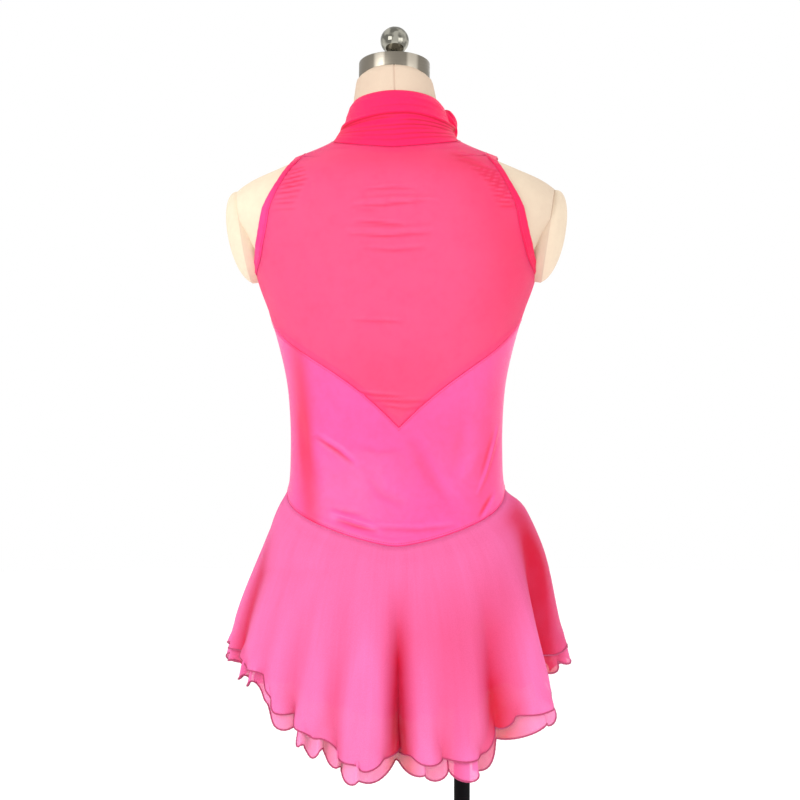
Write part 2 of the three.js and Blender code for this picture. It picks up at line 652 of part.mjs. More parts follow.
/** One rounded shoulder cap, standing on its plate. side is 1 or -1. */
function shoulderCap(side) {
  const rings = steps(CAP_RINGS).map((t) => {
    const angle = (t * Math.PI) / 2;
    const shrink = Math.max(Math.cos(angle), CAP.tip);
    return steps(CAP_COLUMNS).slice(1).map((s) => {
      const bearing = 2 * Math.PI * s;
      const z = CAP.z + CAP.height * shrink * Math.sin(bearing) + CAP.rise * Math.sin(angle);
      const y = CAP.y + CAP.depth * shrink * Math.cos(bearing);
      return new THREE.Vector3(side * (plateDistance(z) + SEAM_GAP + CAP.bulge * Math.sin(angle)), y, z);
    });
  });
  return loftGeometry(rings);
}

/** A disc with a bevelled upper edge. */
function disc({ radius, height, bevel }, segments) {
  const profile = [[0, 0], [radius, 0], [radius, height - bevel], [radius - bevel, height], [0, height]];
  return turnedGeometry(profile, segments);
}

/** The ball on the neck's cap, with its stem. */
function neckBall() {
  const { stem, flange } = BALL;
  const centre = BALL.stemHeight + BALL.radius - BALL.sunk;
  const start = Math.asin(stem / BALL.radius); // where the stem meets the ball
  const arc = steps(10).map((t) => {
    const angle = THREE.MathUtils.lerp(start, Math.PI, t);
    return [BALL.radius * Math.sin(angle), centre - BALL.radius * Math.cos(angle)];
  });
  arc.at(-1)[0] = 0;
  const foot = [[0, 0], [stem + flange, 0], [stem + flange, flange], [stem, 2 * flange]];
  return turnedGeometry([...foot, ...arc], 16);
}

/** The collar on the base that the pole stands in. */
function standHub() {
  const { radius, height, bevel } = HUB;
  const bore = POLE.radius + SEAM_GAP;
  return turnedGeometry(
    [[bore, 0], [radius, 0], [radius, height - bevel], [radius - bevel, height], [bore, height], [bore, 0]],
    24,
  );
}

function standPole() {
  const bottom = BASE.height + SEAM_GAP;
  return new THREE.CylinderGeometry(POLE.radius, POLE.radius, POLE.top - bottom, 24)
    .rotateX(Math.PI / 2)
    .translate(0, 0, (POLE.top + bottom) / 2);
}

// ---------------------------------------------------------------- the scene graph

const materials = Object.fromEntries(
  Object.entries(COLOURS).map(([name, look]) => [name, new THREE.MeshStandardMaterial(look)]),
);

function piece(name, geometry, material) {
  const mesh = new THREE.Mesh(geometry, material);
  mesh.name = name;
  return mesh;
}

const dress = new THREE.Group();
dress.add(
  piece("back_sheer", sheerBack(), materials.sheer),
  piece("back_lower", lowerBack(), materials.spandex),
  piece("front", front(), materials.spandex),
  piece("armhole_binding_right", armholeBinding(1), materials.sheer),
  piece("armhole_binding_left", armholeBinding(-1), materials.sheer),
  piece("collar", collar(), materials.sheer),
  piece("collar_knot", collarKnot(), materials.sheer),
  piece("skirt_outer_back", outerSkirt(CENTRE_BACK), materials.chiffon),
  piece("skirt_outer_front", outerSkirt(CENTRE_FRONT), materials.chiffon),
  piece("skirt_under_back", underSkirt(CENTRE_BACK), materials.chiffon),
  piece("skirt_under_front", underSkirt(CENTRE_FRONT), materials.chiffon),
  piece("briefs", briefs(), materials.spandex),
);

// The metal cap and its ball share the slope of the neck's top.
const neckTop = new THREE.Group();
neckTop.position.copy(around(CENTRE_BACK, NECK_TOP_Z, 0)).add(new THREE.Vector3(NECK_SHIFT, 0, SEAM_GAP));
neckTop.rotation.x = -NECK_TILT;
const ball = piece("form_neck_ball", neckBall(), materials.chrome);
ball.position.z = NECK_CAP.height + SEAM_GAP;
neckTop.add(piece("form_neck_cap", disc(NECK_CAP, 32), materials.steel), ball);

const hub = piece("stand_hub", standHub(), materials.blackPaint);
hub.position.set(POLE.x, 0, BASE.height + SEAM_GAP);
const pole = piece("stand_pole", standPole(), materials.blackPaint);
pole.position.x = POLE.x;

const form = new THREE.Group();
form.add(
  piece("form_torso", torso(), materials.jersey),
  piece("form_shoulder_cap_right", shoulderCap(1), materials.jersey),
  piece("form_shoulder_cap_left", shoulderCap(-1), materials.jersey),
  neckTop,
  piece("stand_base", disc(BASE, 48), materials.blackPaint),
  hub,
  pole,
);

const dressOnForm = new THREE.Group();
dressOnForm.add(dress, form);

export default dressOnForm;
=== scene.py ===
"""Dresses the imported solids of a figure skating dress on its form: cloth, seams, hems, form and stand.

Lengths are millimetres up to the point where a mesh is made, which is in metres. A turn is an angle round the
body: 0 at the centre back (-Y) and a quarter turn at the wearer's right side (+X).
"""

from __future__ import annotations

import logging
import math
from contextlib import contextmanager
from dataclasses import dataclass
from enum import Enum
from typing import Callable, Iterator

import bmesh
import bpy
import numpy as np
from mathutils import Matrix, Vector

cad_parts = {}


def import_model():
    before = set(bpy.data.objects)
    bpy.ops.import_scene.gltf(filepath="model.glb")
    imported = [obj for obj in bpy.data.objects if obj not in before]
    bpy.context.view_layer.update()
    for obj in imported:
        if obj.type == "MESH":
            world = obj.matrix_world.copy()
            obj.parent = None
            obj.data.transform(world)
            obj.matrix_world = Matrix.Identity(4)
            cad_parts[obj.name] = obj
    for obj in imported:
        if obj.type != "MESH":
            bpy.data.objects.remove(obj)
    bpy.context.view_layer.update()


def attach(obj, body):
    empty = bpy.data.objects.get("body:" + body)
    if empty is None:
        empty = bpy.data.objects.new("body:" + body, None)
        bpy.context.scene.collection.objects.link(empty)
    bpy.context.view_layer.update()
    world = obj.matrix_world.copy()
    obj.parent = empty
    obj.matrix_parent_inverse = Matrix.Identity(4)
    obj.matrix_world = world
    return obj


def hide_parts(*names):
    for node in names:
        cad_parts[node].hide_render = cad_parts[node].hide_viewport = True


LOG = logging.getLogger("skating_dress")
MM = 0.001
TAU = 2 * math.pi
SIDE = math.pi / 2
WORDS = {1: "right", -1: "left"}
Surface = Callable[[np.ndarray, np.ndarray], np.ndarray]
Colour = tuple[float, float, float]
Path = tuple[tuple[float, float], ...]


# ---------------------------------------------------------------- numbers and surfaces


def smooth(low: float, high: float, x: np.ndarray) -> np.ndarray:
    """Returns 0 below low, 1 above high and an even S curve between them."""
    share = np.clip((x - low) / (high - low), 0, 1)
    return share * share * (3 - 2 * share)


def ring(count: int) -> np.ndarray:
    """Returns turns that lie evenly all the way round."""
    return np.arange(count) * TAU / count


def wrapped(turn: np.ndarray) -> np.ndarray:
    """Returns the turn brought between minus and plus half a turn."""
    return np.arctan2(np.sin(turn), np.cos(turn))


def bell(distance: np.ndarray) -> np.ndarray:
    """Returns a soft bump: 1 at distance 0, mostly gone at 2."""
    return np.exp(-distance * distance)


def unit(vectors: np.ndarray) -> np.ndarray:
    """Returns vectors brought to length 1."""
    return vectors / np.linalg.norm(vectors, axis=-1, keepdims=True)


def distances(line: np.ndarray) -> np.ndarray:
    """Returns how far along a line each of its points lies."""
    return np.concatenate([[0], np.cumsum(np.linalg.norm(np.diff(line, axis=0), axis=1))])


def looped(line: np.ndarray) -> np.ndarray:
    """Returns a line with its first point again at its end."""
    return np.concatenate([line, line[:1]])


def spaced(values: np.ndarray, along: np.ndarray, pitch: float) -> np.ndarray:
    """Returns what a line's points hold, such as their places, again at an even pitch along it."""
    stations = np.linspace(0, along[-1], max(2, round(along[-1] / pitch)) + 1)
    return np.stack([np.interp(stations, along, column) for column in values.T], axis=1)


def moved_out(surface: Surface, turn: np.ndarray, down: np.ndarray, distance: np.ndarray) -> np.ndarray:
    """Moves points of a surface along its normal, away from the body.

    Args:
        surface: Gives points from turns and heights, or lengths down the cloth.
        turn: The points' turns.
        down: The points' second coordinates.
        distance: How far each point moves.

    Returns:
        The moved points, one row of three for each.
    """
    along_turn = surface(turn + 1e-3, down) - surface(turn - 1e-3, down)
    along_down = surface(turn, down + 0.05) - surface(turn, down - 0.05)
    normal = unit(np.cross(along_turn, along_down))
    outward = np.stack([np.sin(turn), -np.cos(turn), np.zeros_like(turn)], axis=-1)
    normal *= np.sign((normal * outward).sum(-1, keepdims=True))
    return surface(turn, down) + normal * np.asarray(distance)[..., None]


class Face(Enum):
    """The half of the dress that a crease lies on."""

    BACK = 1
    FRONT = -1


@dataclass(frozen=True)
class Crease:
    """A soft trough in cloth with a low lip along one side, drawn on the back or the front.

    path is the trough's line as (x, height) points, depth is its depth or, where negative, a ridge's height,
    width is the distance over which it fades, and lip is the lip's height as a share of the depth.
    """

    path: Path
    depth: float
    width: float
    lip: float = 0.55
    face: Face = Face.BACK

    def painted_shade(self, points: np.ndarray) -> np.ndarray:
        """Returns the shade painted in the crease at each point; a wide soft crease hardly darkens the cloth.
        """
        narrow = min(1.0, 2.4 / self.width) ** 1.3
        return np.clip(-self.height(points), -0.5, None) * narrow * 0.6

    def height(self, points: np.ndarray) -> np.ndarray:
        """Works out how far the crease moves the cloth.

        Args:
            points: Points of the cloth.

        Returns:
            The movement along the cloth's normal at each point.
        """
        flat = points[..., [0, 2]]
        line = np.array(self.path, float)
        along = distances(line)
        nearest = np.full(flat.shape[:-1], np.inf)
        place = np.zeros_like(nearest)
        for i, length in enumerate(np.diff(along)):
            step = (line[i + 1] - line[i]) / length
            offset = flat - line[i]
            t = np.clip(offset @ step, 0, length)
            rest = offset - t[..., None] * step
            gap = np.linalg.norm(rest, axis=-1)
            signed = np.where(step[0] * rest[..., 1] - step[1] * rest[..., 0] < 0, -gap, gap)
            closer = gap < np.abs(nearest)
            nearest = np.where(closer, signed, nearest)
            place = np.where(closer, (along[i] + t) / along[-1], place)
        fade = np.sin(np.pi * np.clip(place * 0.94 + 0.03, 0, 1)) ** 0.7
        here = points[..., 1] * self.face.value < 4
        trough = -bell(nearest / self.width) + self.lip * bell((nearest - 1.7 * self.width) / self.width)
        return np.where(here, self.depth * fade * trough, 0.0)


def creased(points: np.ndarray, creases: tuple[Crease, ...]) -> np.ndarray:
    """Returns the sum of the creases' heights at each point."""
    return sum((crease.height(points) for crease in creases), np.zeros(points.shape[:-1]))


@dataclass(frozen=True)
class BodyForm:
    """The shape that the form gives the dress, as a radius at each turn and height."""

    # height, half width, back depth, front depth, lean forward, exponent of the outline
    sections: tuple[tuple[float, ...], ...] = (
        (715, 146, 114, 90, 0, 2.3),
        (739, 143, 112, 92, 0, 2.3),
        (762, 137, 104, 92, 0, 2.3),
        (784, 130, 95, 91, 0, 2.3),
        (824, 119.5, 82, 88, 0, 2.25),
        (860, 117.5, 76, 86, 0, 2.2),
        (900, 118, 79, 89, 0, 2.2),
        (940, 121.5, 86, 95, 0, 2.25),
        (980, 130, 95, 101, 0, 2.3),
        (1020, 142, 102, 104, 0, 2.3),
        (1044, 151, 105, 102, 0, 2.35),
        (1060, 156, 106, 99, 0, 2.35),
        (1078, 160.5, 106, 92, 0, 2.4),
        (1096, 172, 105, 84, 0, 2.4),
        (1127, 190, 101, 70, 0, 2.4),
        (1146, 189, 95.5, 63, 0, 2.4),
        (1157, 181, 91.5, 60, 0, 2.35),
        (1169, 164, 86, 57, 0, 2.3),
        (1180, 140, 79, 54, 0, 2.25),
        (1191, 115, 71, 52, 1, 2.15),
        (1203, 85.5, 63.5, 50, 2, 2.05),
        (1214, 65, 57, 49, 3, 2),
        (1226, 54.5, 52, 48, 4.5, 2),
        (1240, 50, 48.5, 47, 6, 2),
        (1262, 46.5, 46, 46, 9, 2),
        (1285, 42.5, 42.5, 42.5, 12, 2),
        (1305, 39, 39, 39, 14, 2),
    )
    hip_z: float = 715
    bowl_depth: float = 77
    bust_turn: float = 2.5
    bust_z: float = 992
    bust_lift: float = 18
    bust_spread: float = 0.38
    bust_above: float = 58
    bust_below: float = 46
    neck_top: float = 1287
    neck_shift: float = -3
    neck_tilt: float = math.radians(12)
    plate_z: float = 1056
    plate_half: float = 163
    plate_slope: float = 0.149

    def sizes(self, z: np.ndarray) -> tuple[np.ndarray, ...]:
        """Returns half width, back depth, front depth, lean and exponent at heights, on a smooth curve."""
        table = np.array(self.sections)
        knots, values = table[:, 0], table[:, 1:]
        z = np.asarray(z, float)
        i = np.clip(np.searchsorted(knots, z, side="right"), 1, len(knots) - 1)
        low, high = knots[i - 1], knots[i]
        first, last = i < 2, i > len(knots) - 2
        before = np.where(first, 2 * low - high, knots[np.maximum(i - 2, 0)])
        after = np.where(last, 2 * high - low, knots[np.minimum(i + 1, len(knots) - 1)])
        half = (high - low) / 2
        wp, wn = half / (low - before), half / (after - high)
        p = np.clip((z - low) / (high - low), 0, 1)
        weights = (
            -wp * p**3 + 2 * wp * p**2 - wp * p,
            (1 + wp) * p**3 + (-1.5 - 2 * wp) * p**2 + (-0.5 + wp) * p + 1,
            (-1 - wn) * p**3 + (1.5 + wn) * p**2 + 0.5 * p,
            wn * p**3 - wn * p**2,
        )
        rows = (np.where(first, i, i - 2), i - 1, i, np.where(last, i - 1, i + 1))
        result = sum(w[..., None] * values[np.clip(r, 0, len(values) - 1)] for w, r in zip(weights, rows))
        return tuple(result[..., k] for k in range(values.shape[1]))

    def radius(self, turn: np.ndarray, z: np.ndarray) -> np.ndarray:
        """Returns the radius from the section's middle at turns and heights."""
        turn, z = np.broadcast_arrays(turn, z)
        half, back, front, _, square = self.sizes(z)
        depth = np.where(np.cos(turn) < 0, front, back)
        across = np.abs(np.sin(turn) / half) ** square
        along = np.abs(np.cos(turn) / depth) ** square
        aside = (np.abs(wrapped(turn)) - self.bust_turn) / self.bust_spread
        away = (z - self.bust_z) / np.where(z > self.bust_z, self.bust_above, self.bust_below)
        return (across + along) ** (-1 / square) + self.bust_lift * bell(aside) * bell(away)

    def around(self, turn: np.ndarray, z: np.ndarray, radius: np.ndarray) -> np.ndarray:
        """Returns the points at turns, heights and radii from the body's middle line."""
        turn, z, radius = np.broadcast_arrays(turn, z, radius)
        lean = self.sizes(np.maximum(z, self.hip_z))[3]
        return np.stack([radius * np.sin(turn), lean - radius * np.cos(turn), z], axis=-1)

    def surface(self, turn: np.ndarray, z: np.ndarray) -> np.ndarray:
        """Returns the body's points at turns and heights."""
        return self.around(turn, z, self.radius(turn, z))

    def raised(self, turn: np.ndarray, z: np.ndarray, distance: np.ndarray | float) -> np.ndarray:
        """Returns points at turns and heights, moved off the body by a distance."""
        return moved_out(self.surface, turn, z, distance)

    def line(self, turn: np.ndarray, z: np.ndarray, distance: float) -> tuple[np.ndarray, np.ndarray]:
        """Returns points of a line at a distance off the body, and the outward direction at each."""
        on = self.raised(turn, z, distance)
        return on, on - self.surface(turn, z)

    def bowl(self, turn: np.ndarray, angle: float, grown: float) -> np.ndarray:
        """Returns a ring of the bowl under the hips, at an angle below the hip level, grown by a distance."""
        radius = (self.radius(turn, self.hip_z) + grown) * np.cos(angle)
        return self.around(turn, self.hip_z - (self.bowl_depth + grown) * np.sin(angle), radius)

    def plate(self, z: np.ndarray) -> np.ndarray:
        """Returns the distance of a shoulder plate from the middle at heights."""
        return self.plate_half + (z - self.plate_z) * self.plate_slope


BODY = BodyForm()


@dataclass(frozen=True)
class SeamLine:
    """A seam round the body, from its height at the centre back and front to its height at the sides.

    A bend is the share of the rise that is even; the rest grows with the square of the distance. twist is how
    many degrees the lowest point of the back lies towards the wearer's right, and soft how far its corner is
    rounded, as a share of a quarter turn.
    """

    back: float
    side: float
    back_bend: float
    front: float = 0
    front_bend: float = 0
    twist: float = 0
    soft: float = 0

    def height(self, turn: np.ndarray) -> np.ndarray:
        """Returns the seam's height at turns."""
        share = np.abs(wrapped(turn) - math.radians(self.twist) * np.maximum(np.cos(turn), 0)) / SIDE
        at_back = share <= 1
        near = np.where(at_back, share, 2 - share)
        near = np.sqrt(near * near + self.soft**2) - self.soft * (1 - near)
        centre = np.where(at_back, self.back, self.front)
        bend = np.where(at_back, self.back_bend, self.front_bend)
        return centre + (self.side - centre) * (bend * near + (1 - bend) * near * near)


WAIST = SeamLine(back=761.5, side=821, back_bend=0.5, front=768, front_bend=0.5, twist=3, soft=0.07)
V_SEAM = SeamLine(back=889.6, side=1016, back_bend=1, twist=5.2)
NECK = SeamLine(back=1198, side=1214, back_bend=0.4, front=1181, front_bend=1.45)


@dataclass(frozen=True)
class Armhole:
    """The cut of an armhole, as an angle from the side seam at each height."""

    z: float = 1129
    half: float = 63
    back_width: float = 0.49
    front_width: float = 0.4
    taper: float = 0.1
    swell: float = 0.2
    square: float = 2.7

    def cut(self, z: np.ndarray, width: float) -> np.ndarray:
        """Returns how far a panel's edge is cut back at heights, for the back's or the front's width."""
        q = np.clip((z - self.z) / self.half, -1, 1)
        above = np.abs(np.clip(q, 0, 1))
        upper = (1 - above**self.square) ** (1 / self.square) * (1 + self.swell * q)
        return width * np.where(q < 0, np.sqrt(1 - q * q) * (1 + self.taper * q), upper)


ARMHOLE = Armhole()


# ---------------------------------------------------------------- meshes


def only(obj: bpy.types.Object) -> None:
    """Selects one object and nothing else, and makes it the active one."""
    bpy.ops.object.select_all(action="DESELECT")
    obj.select_set(True)
    bpy.context.view_layer.objects.active = obj


def applied(obj: bpy.types.Object, kind: str, **settings: object) -> None:
    """Adds a modifier to an object and applies it.

    Args:
        obj: The object.
        kind: The modifier's type.
        **settings: The modifier's values.
    """
    only(obj)
    modifier = obj.modifiers.new(kind.title(), kind)
    for name, value in settings.items():
        setattr(modifier, name, value)
    bpy.ops.object.modifier_apply(modifier=modifier.name)


def new_object(name: str, mesh: bpy.types.Mesh) -> bpy.types.Object:
    """Returns a new object in the scene that shows a mesh, shaded smooth."""
    obj = bpy.data.objects.new(name, mesh)
    bpy.context.scene.collection.objects.link(obj)
    mesh.polygons.foreach_set("use_smooth", np.ones(len(mesh.polygons), bool))
    return obj


@contextmanager
def edited(obj: bpy.types.Object) -> Iterator[bmesh.types.BMesh]:
    """Gives an object's mesh to bmesh, and takes it back at the end of the block."""
    bm = bmesh.new()
    bm.from_mesh(obj.data)
    yield bm
    bm.to_mesh(obj.data)
    bm.free()


def fill_holes(bm: bmesh.types.BMesh) -> None:
    """Fills the open ends of a mesh."""
    bmesh.ops.holes_fill(bm, edges=[e for e in bm.edges if e.is_boundary])


def face_outwards(bm: bmesh.types.BMesh) -> None:
    """Turns a mesh's faces outwards."""
    bmesh.ops.recalc_face_normals(bm, faces=bm.faces)


def close_ends(obj: bpy.types.Object) -> None:
    """Fills the open ends of a tube and turns its faces outwards."""
    with edited(obj) as bm:
        fill_holes(bm)
        face_outwards(bm)


def signed_volume(points: np.ndarray, quads: np.ndarray) -> float:
    """Returns six times the volume inside quads, positive where they face out."""
    a, b, c, d = (points[quads[:, k]] for k in range(4))
    return float((a * np.cross(b, c)).sum() + (a * np.cross(c, d)).sum())


def grid_object(
    name: str,
    grid: np.ndarray,
    round_columns: bool = False,
    round_rows: bool = False,
    fold: np.ndarray | None = None,
) -> bpy.types.Object:
    """Makes a quad mesh through a grid of points, with a map in metres along its rows and columns.

    Args:
        name: The object's name.
        grid: Points as rows by columns by three, in millimetres.
        round_columns: True if each row closes on itself.
        round_rows: True if the last row meets the first, as on a ring of tube.
        fold: How deep each point is painted in shade, from 0 to 1, kept as an attribute.

    Returns:
        The object. Its faces point away from the body's middle line, or out of the tube.
    """
    rows, columns = grid.shape[:2]
    r = np.arange(rows if round_rows else rows - 1)[:, None]
    c = np.arange(columns if round_columns else columns - 1)[None, :]
    up, right = (r + 1) % rows, (c + 1) % columns
    quads = np.stack([r * columns + c, r * columns + right, up * columns + right, up * columns + c], axis=-1)
    quads = quads.reshape(-1, 4)
    points = grid.reshape(-1, 3) * MM
    along = np.linalg.norm(np.diff(grid, axis=1, append=grid[:, :1]), axis=2).mean(0) * MM
    down = np.linalg.norm(np.diff(grid, axis=0, append=grid[:1]), axis=2).mean(1) * MM
    u = np.concatenate([[0], np.cumsum(along)])
    v = np.concatenate([[0], np.cumsum(down)])
    c_all, r_all = np.broadcast_arrays(c, r)
    map_u = np.stack([u[c_all], u[c_all + 1], u[c_all + 1], u[c_all]], axis=-1).reshape(-1, 4)
    map_v = np.stack([v[r_all], v[r_all], v[r_all + 1], v[r_all + 1]], axis=-1).reshape(-1, 4)
    if round_rows and round_columns:
        outward = signed_volume(points, quads)
    else:
        a, b, d = points[quads[:, 0]], points[quads[:, 1]], points[quads[:, 3]]
        normal = np.cross(b - a, d - a)
        outward = float((normal[:, :2] * a[:, :2]).sum())
    if outward < 0:
        quads, map_u, map_v = quads[:, ::-1], map_u[:, ::-1], map_v[:, ::-1]
    mesh = bpy.data.meshes.new(name)
    mesh.from_pydata(points.tolist(), [], quads.tolist())
    layer = mesh.uv_layers.new(name="cloth")
    layer.data.foreach_set("uv", np.stack([map_u, map_v], axis=-1).astype(np.float32).ravel())
    # the fold attribute carries the painted shade to the material
    attribute = mesh.attributes.new("fold", "FLOAT", "POINT")
    depth = np.zeros(len(points)) if fold is None else np.clip(fold, 0, 1).ravel()
    attribute.data.foreach_set("value", depth.astype(np.float32))
    return new_object(name, mesh)


def swept(path: np.ndarray, outward: np.ndarray, section: np.ndarray, closed: bool) -> np.ndarray:
    """Sweeps a flat outline along a path.

    Args:
        path: Points of the path.
        outward: A direction at each point that the outline's second axis keeps to.
        section: Points of the outline, as (across, outward).
        closed: True if the path closes on itself.

    Returns:
        A grid with a row for each point of the path.
    """
    if closed:
        ahead = np.roll(path, -1, axis=0) - np.roll(path, 1, axis=0)
    else:
        ahead = np.gradient(path, axis=0)
    ahead = unit(ahead)
    up = unit(outward - (outward * ahead).sum(1, keepdims=True) * ahead)
    across = np.cross(ahead, up)
    return path[:, None] + section[:, :1] * across[:, None] + section[:, 1:] * up[:, None]


def circle(radius: float, sides: int) -> np.ndarray:
    """Returns a round outline."""
    angle = ring(sides)
    return radius * np.stack([np.cos(angle), np.sin(angle)], axis=1)


# ---------------------------------------------------------------- shaders


class Value:
    """A shader value: a node's output, with Python's operators as Math nodes."""

    def __init__(self, shader: Shader, socket: bpy.types.NodeSocket) -> None:
        """Keeps the shader and the socket."""
        self.shader = shader
        self.socket = socket

    def math(self, operation: str, *others: Value | float) -> Value:
        """Returns the result of a Math node on this value and others."""
        return self.shader.node("ShaderNodeMath", {"operation": operation}, dict(enumerate((self, *others))))

    def __add__(self, other: Value | float) -> Value:
        """Returns the sum."""
        return self.math("ADD", other)

    def __sub__(self, other: Value | float) -> Value:
        """Returns the difference."""
        return self.math("SUBTRACT", other)

    def __rsub__(self, other: float) -> Value:
        """Returns a number minus this value."""
        return self.math("MULTIPLY", -1.0).math("ADD", other)

    def __mul__(self, other: Value | float) -> Value:
        """Returns the product."""
        return self.math("MULTIPLY", other)

    def clamped(self) -> Value:
        """Returns the value kept between 0 and 1."""
        return self.math("MAXIMUM", 0.0).math("MINIMUM", 1.0)

    __radd__ = __add__
    __rmul__ = __mul__


def scaled(colour: Colour, share: float, more: float = 0.0) -> Colour:
    """Returns a colour made darker or lighter."""
    return tuple(part * share + more for part in colour)


class Shader:
    """One material's node tree, ending in a Principled shader."""

    def __init__(self, name: str) -> None:
        """Makes an empty material."""
        self.material = bpy.data.materials.new(name)
        self.material.use_nodes = True
        self.tree = self.material.node_tree
        self.tree.nodes.clear()

    def node(
        self,
        kind: str,
        settings: dict[str, object] | None = None,
        values: dict[str | int, object] | None = None,
        output: str | int = 0,
    ) -> Value:
        """Adds a node.

        Args:
            kind: The node's type.
            settings: Its own settings, such as an operation.
            values: Numbers, colours or links for its sockets.
            output: The output to return.

        Returns:
            The output.
        """
        made = self.tree.nodes.new(kind)
        for name, value in (settings or {}).items():
            setattr(made, name, value)
        for key, value in (values or {}).items():
            if isinstance(value, Value):
                self.tree.links.new(value.socket, made.inputs[key])
            else:
                made.inputs[key].default_value = value
        return Value(self, made.outputs[output])

    def mixed(self, factor: Value | float, first: Value | Colour, second: Value | Colour) -> Value:
        """Returns two colours mixed by a factor."""
        colours = [c if isinstance(c, Value) else (*c, 1.0) for c in (first, second)]
        values = {0: factor, 6: colours[0], 7: colours[1]}
        return self.node("ShaderNodeMix", {"data_type": "RGBA"}, values, output=2)

    def noise(self, scale: float, detail: float = 3, across: Value | None = None) -> Value:
        """Returns soft noise on Object coordinates, or on others that are given."""
        where = across or self.node("ShaderNodeTexCoord", output="Object")
        return self.node("ShaderNodeTexNoise", values={"Vector": where, "Scale": scale, "Detail": detail})

    def cloth_map(self) -> tuple[Value, Value]:
        """Returns the two coordinates of the piece's map, in metres."""
        where = self.node("ShaderNodeUVMap", {"uv_map": "cloth"})
        apart = self.node("ShaderNodeSeparateXYZ", values={0: where})
        return apart, Value(self, apart.socket.node.outputs[1])

    def bump(self, height: Value, depth: float, normal: Value | None = None) -> Value:
        """Returns a normal that a height tilts.

        Args:
            height: The height, from 0 to 1.
            depth: What 1 stands for, in metres.
            normal: The normal to start from.

        Returns:
            The normal.
        """
        values = {"Strength": 1.0, "Distance": depth, "Height": height}
        if normal:
            values["Normal"] = normal
        return self.node("ShaderNodeBump", values=values)

    def finish(self, sockets: dict[str, object]) -> bpy.types.Material:
        """Adds the Principled shader, with values or links for its sockets, and returns the material."""
        surface = self.node("ShaderNodeBsdfPrincipled", values=sockets)
        output = self.tree.nodes.new("ShaderNodeOutputMaterial")
        self.tree.links.new(surface.socket, output.inputs["Surface"])
        return self.material


class Weave(Enum):
    """How a cloth is made up."""

    NET = "stretch mesh"
    KNIT = "spandex"
    CREPE = "chiffon"
    JERSEY = "jersey"
    CORD = "rolled thread"


@dataclass(frozen=True)
class ClothFinish:
    """The finish of a cloth.

    deep is the colour painted where it lies in shade, such as in folds, and also the darker colour of its
    uneven tone, cover is how much one wall hides, pitch is the distance between two threads in metres, and
    relief is their height. cloud, grain, blotches, streaks and wrinkle are the scales of the noises that make
    it uneven, and wrinkle_depth is in metres.
    """

    name: str
    colour: Colour
    deep: Colour
    weave: Weave
    pitch: float
    relief: float
    roughness: float
    sheen: float = 0.0
    shine: float = 0.3
    cover: float = 1.0
    mottle: float = 0.08
    cloud: float = 16
    grain: float = 900
    blotches: tuple[float, float] = (130, 48)
    streaks: tuple[float, float] = (170, 55)
    wrinkle: float = 70
    wrinkle_depth: float = 0.00035

    def threads(self, shader: Shader) -> Value:
        """Returns the height of the threads, from 0 to 1."""
        u, v = shader.cloth_map()
        turn = TAU / self.pitch
        if self.weave is Weave.NET:
            a, b = ((u + v) * (turn / 2)).math("SINE"), ((u - v) * (turn / 2)).math("SINE")
            return a.math("ABSOLUTE").math("MAXIMUM", b.math("ABSOLUTE"))
        if self.weave is Weave.CORD:
            return ((u * turn + v * (turn * 0.6)).math("SINE") + 1) * 0.5
        rib = ((u * turn).math("SINE") + 1) * 0.5
        loop = ((v * (turn * 0.8)).math("SINE") + 1) * 0.5
        if self.weave is Weave.KNIT:
            return rib * 0.7 + loop * 0.3
        return rib * loop

    def streak(self, shader: Shader, scale: float) -> Value:
        """Returns soft streaks that run down the cloth, from 0 to 1."""
        u, v = shader.cloth_map()
        down = shader.node("ShaderNodeCombineXYZ", values={0: u, 1: v * 0.09})
        return shader.noise(scale, 2, down)

    def make(self) -> bpy.types.Material:
        """Returns the material."""
        shader = Shader(self.name)
        threads = self.threads(shader)
        cloud = shader.noise(self.cloud)
        grain = shader.noise(self.grain, 2)
        # painted shade: the fold attribute mixes the deep colour in
        fold = shader.node("ShaderNodeAttribute", {"attribute_name": "fold"}, output="Fac")
        colour = shader.mixed(fold, self.colour, self.deep)
        dull = scaled(self.colour, 1 - 2 * self.mottle)
        colour = shader.mixed((cloud - 0.5) * self.mottle * 6 + self.mottle, colour, dull)
        fine, broad = (shader.noise(scale, 2) for scale in self.blotches)
        blotch = fine + broad
        if self.weave is Weave.CREPE:
            fine, broad = (self.streak(shader, scale) for scale in self.streaks)
            blotch = fine * 0.5 + broad * 0.5 + 0.5
        uneven = (1 - threads) * 0.14 + (grain - 0.5) * 0.12 + (blotch - 1) * 0.3
        colour = shader.mixed(uneven, colour, self.deep)
        normal = shader.bump(threads * 0.8 + grain * 0.4, self.relief)
        normal = shader.bump(shader.noise(self.wrinkle, 2), self.wrinkle_depth, normal)
        sockets = {
            "Base Color": colour,
            "Roughness": (cloud - 0.5) * 0.12 + self.roughness,
            "Normal": normal,
            "Sheen Weight": self.sheen,
            "Sheen Roughness": 0.45,
            "Sheen Tint": (*self.colour, 1.0),
            "Specular IOR Level": self.shine,
        }
        if self.cover < 1:
            holes = (1 - threads) if self.weave is Weave.NET else grain
            sockets["Alpha"] = self.cover - (holes - 0.5) * 0.1
        return shader.finish(sockets)


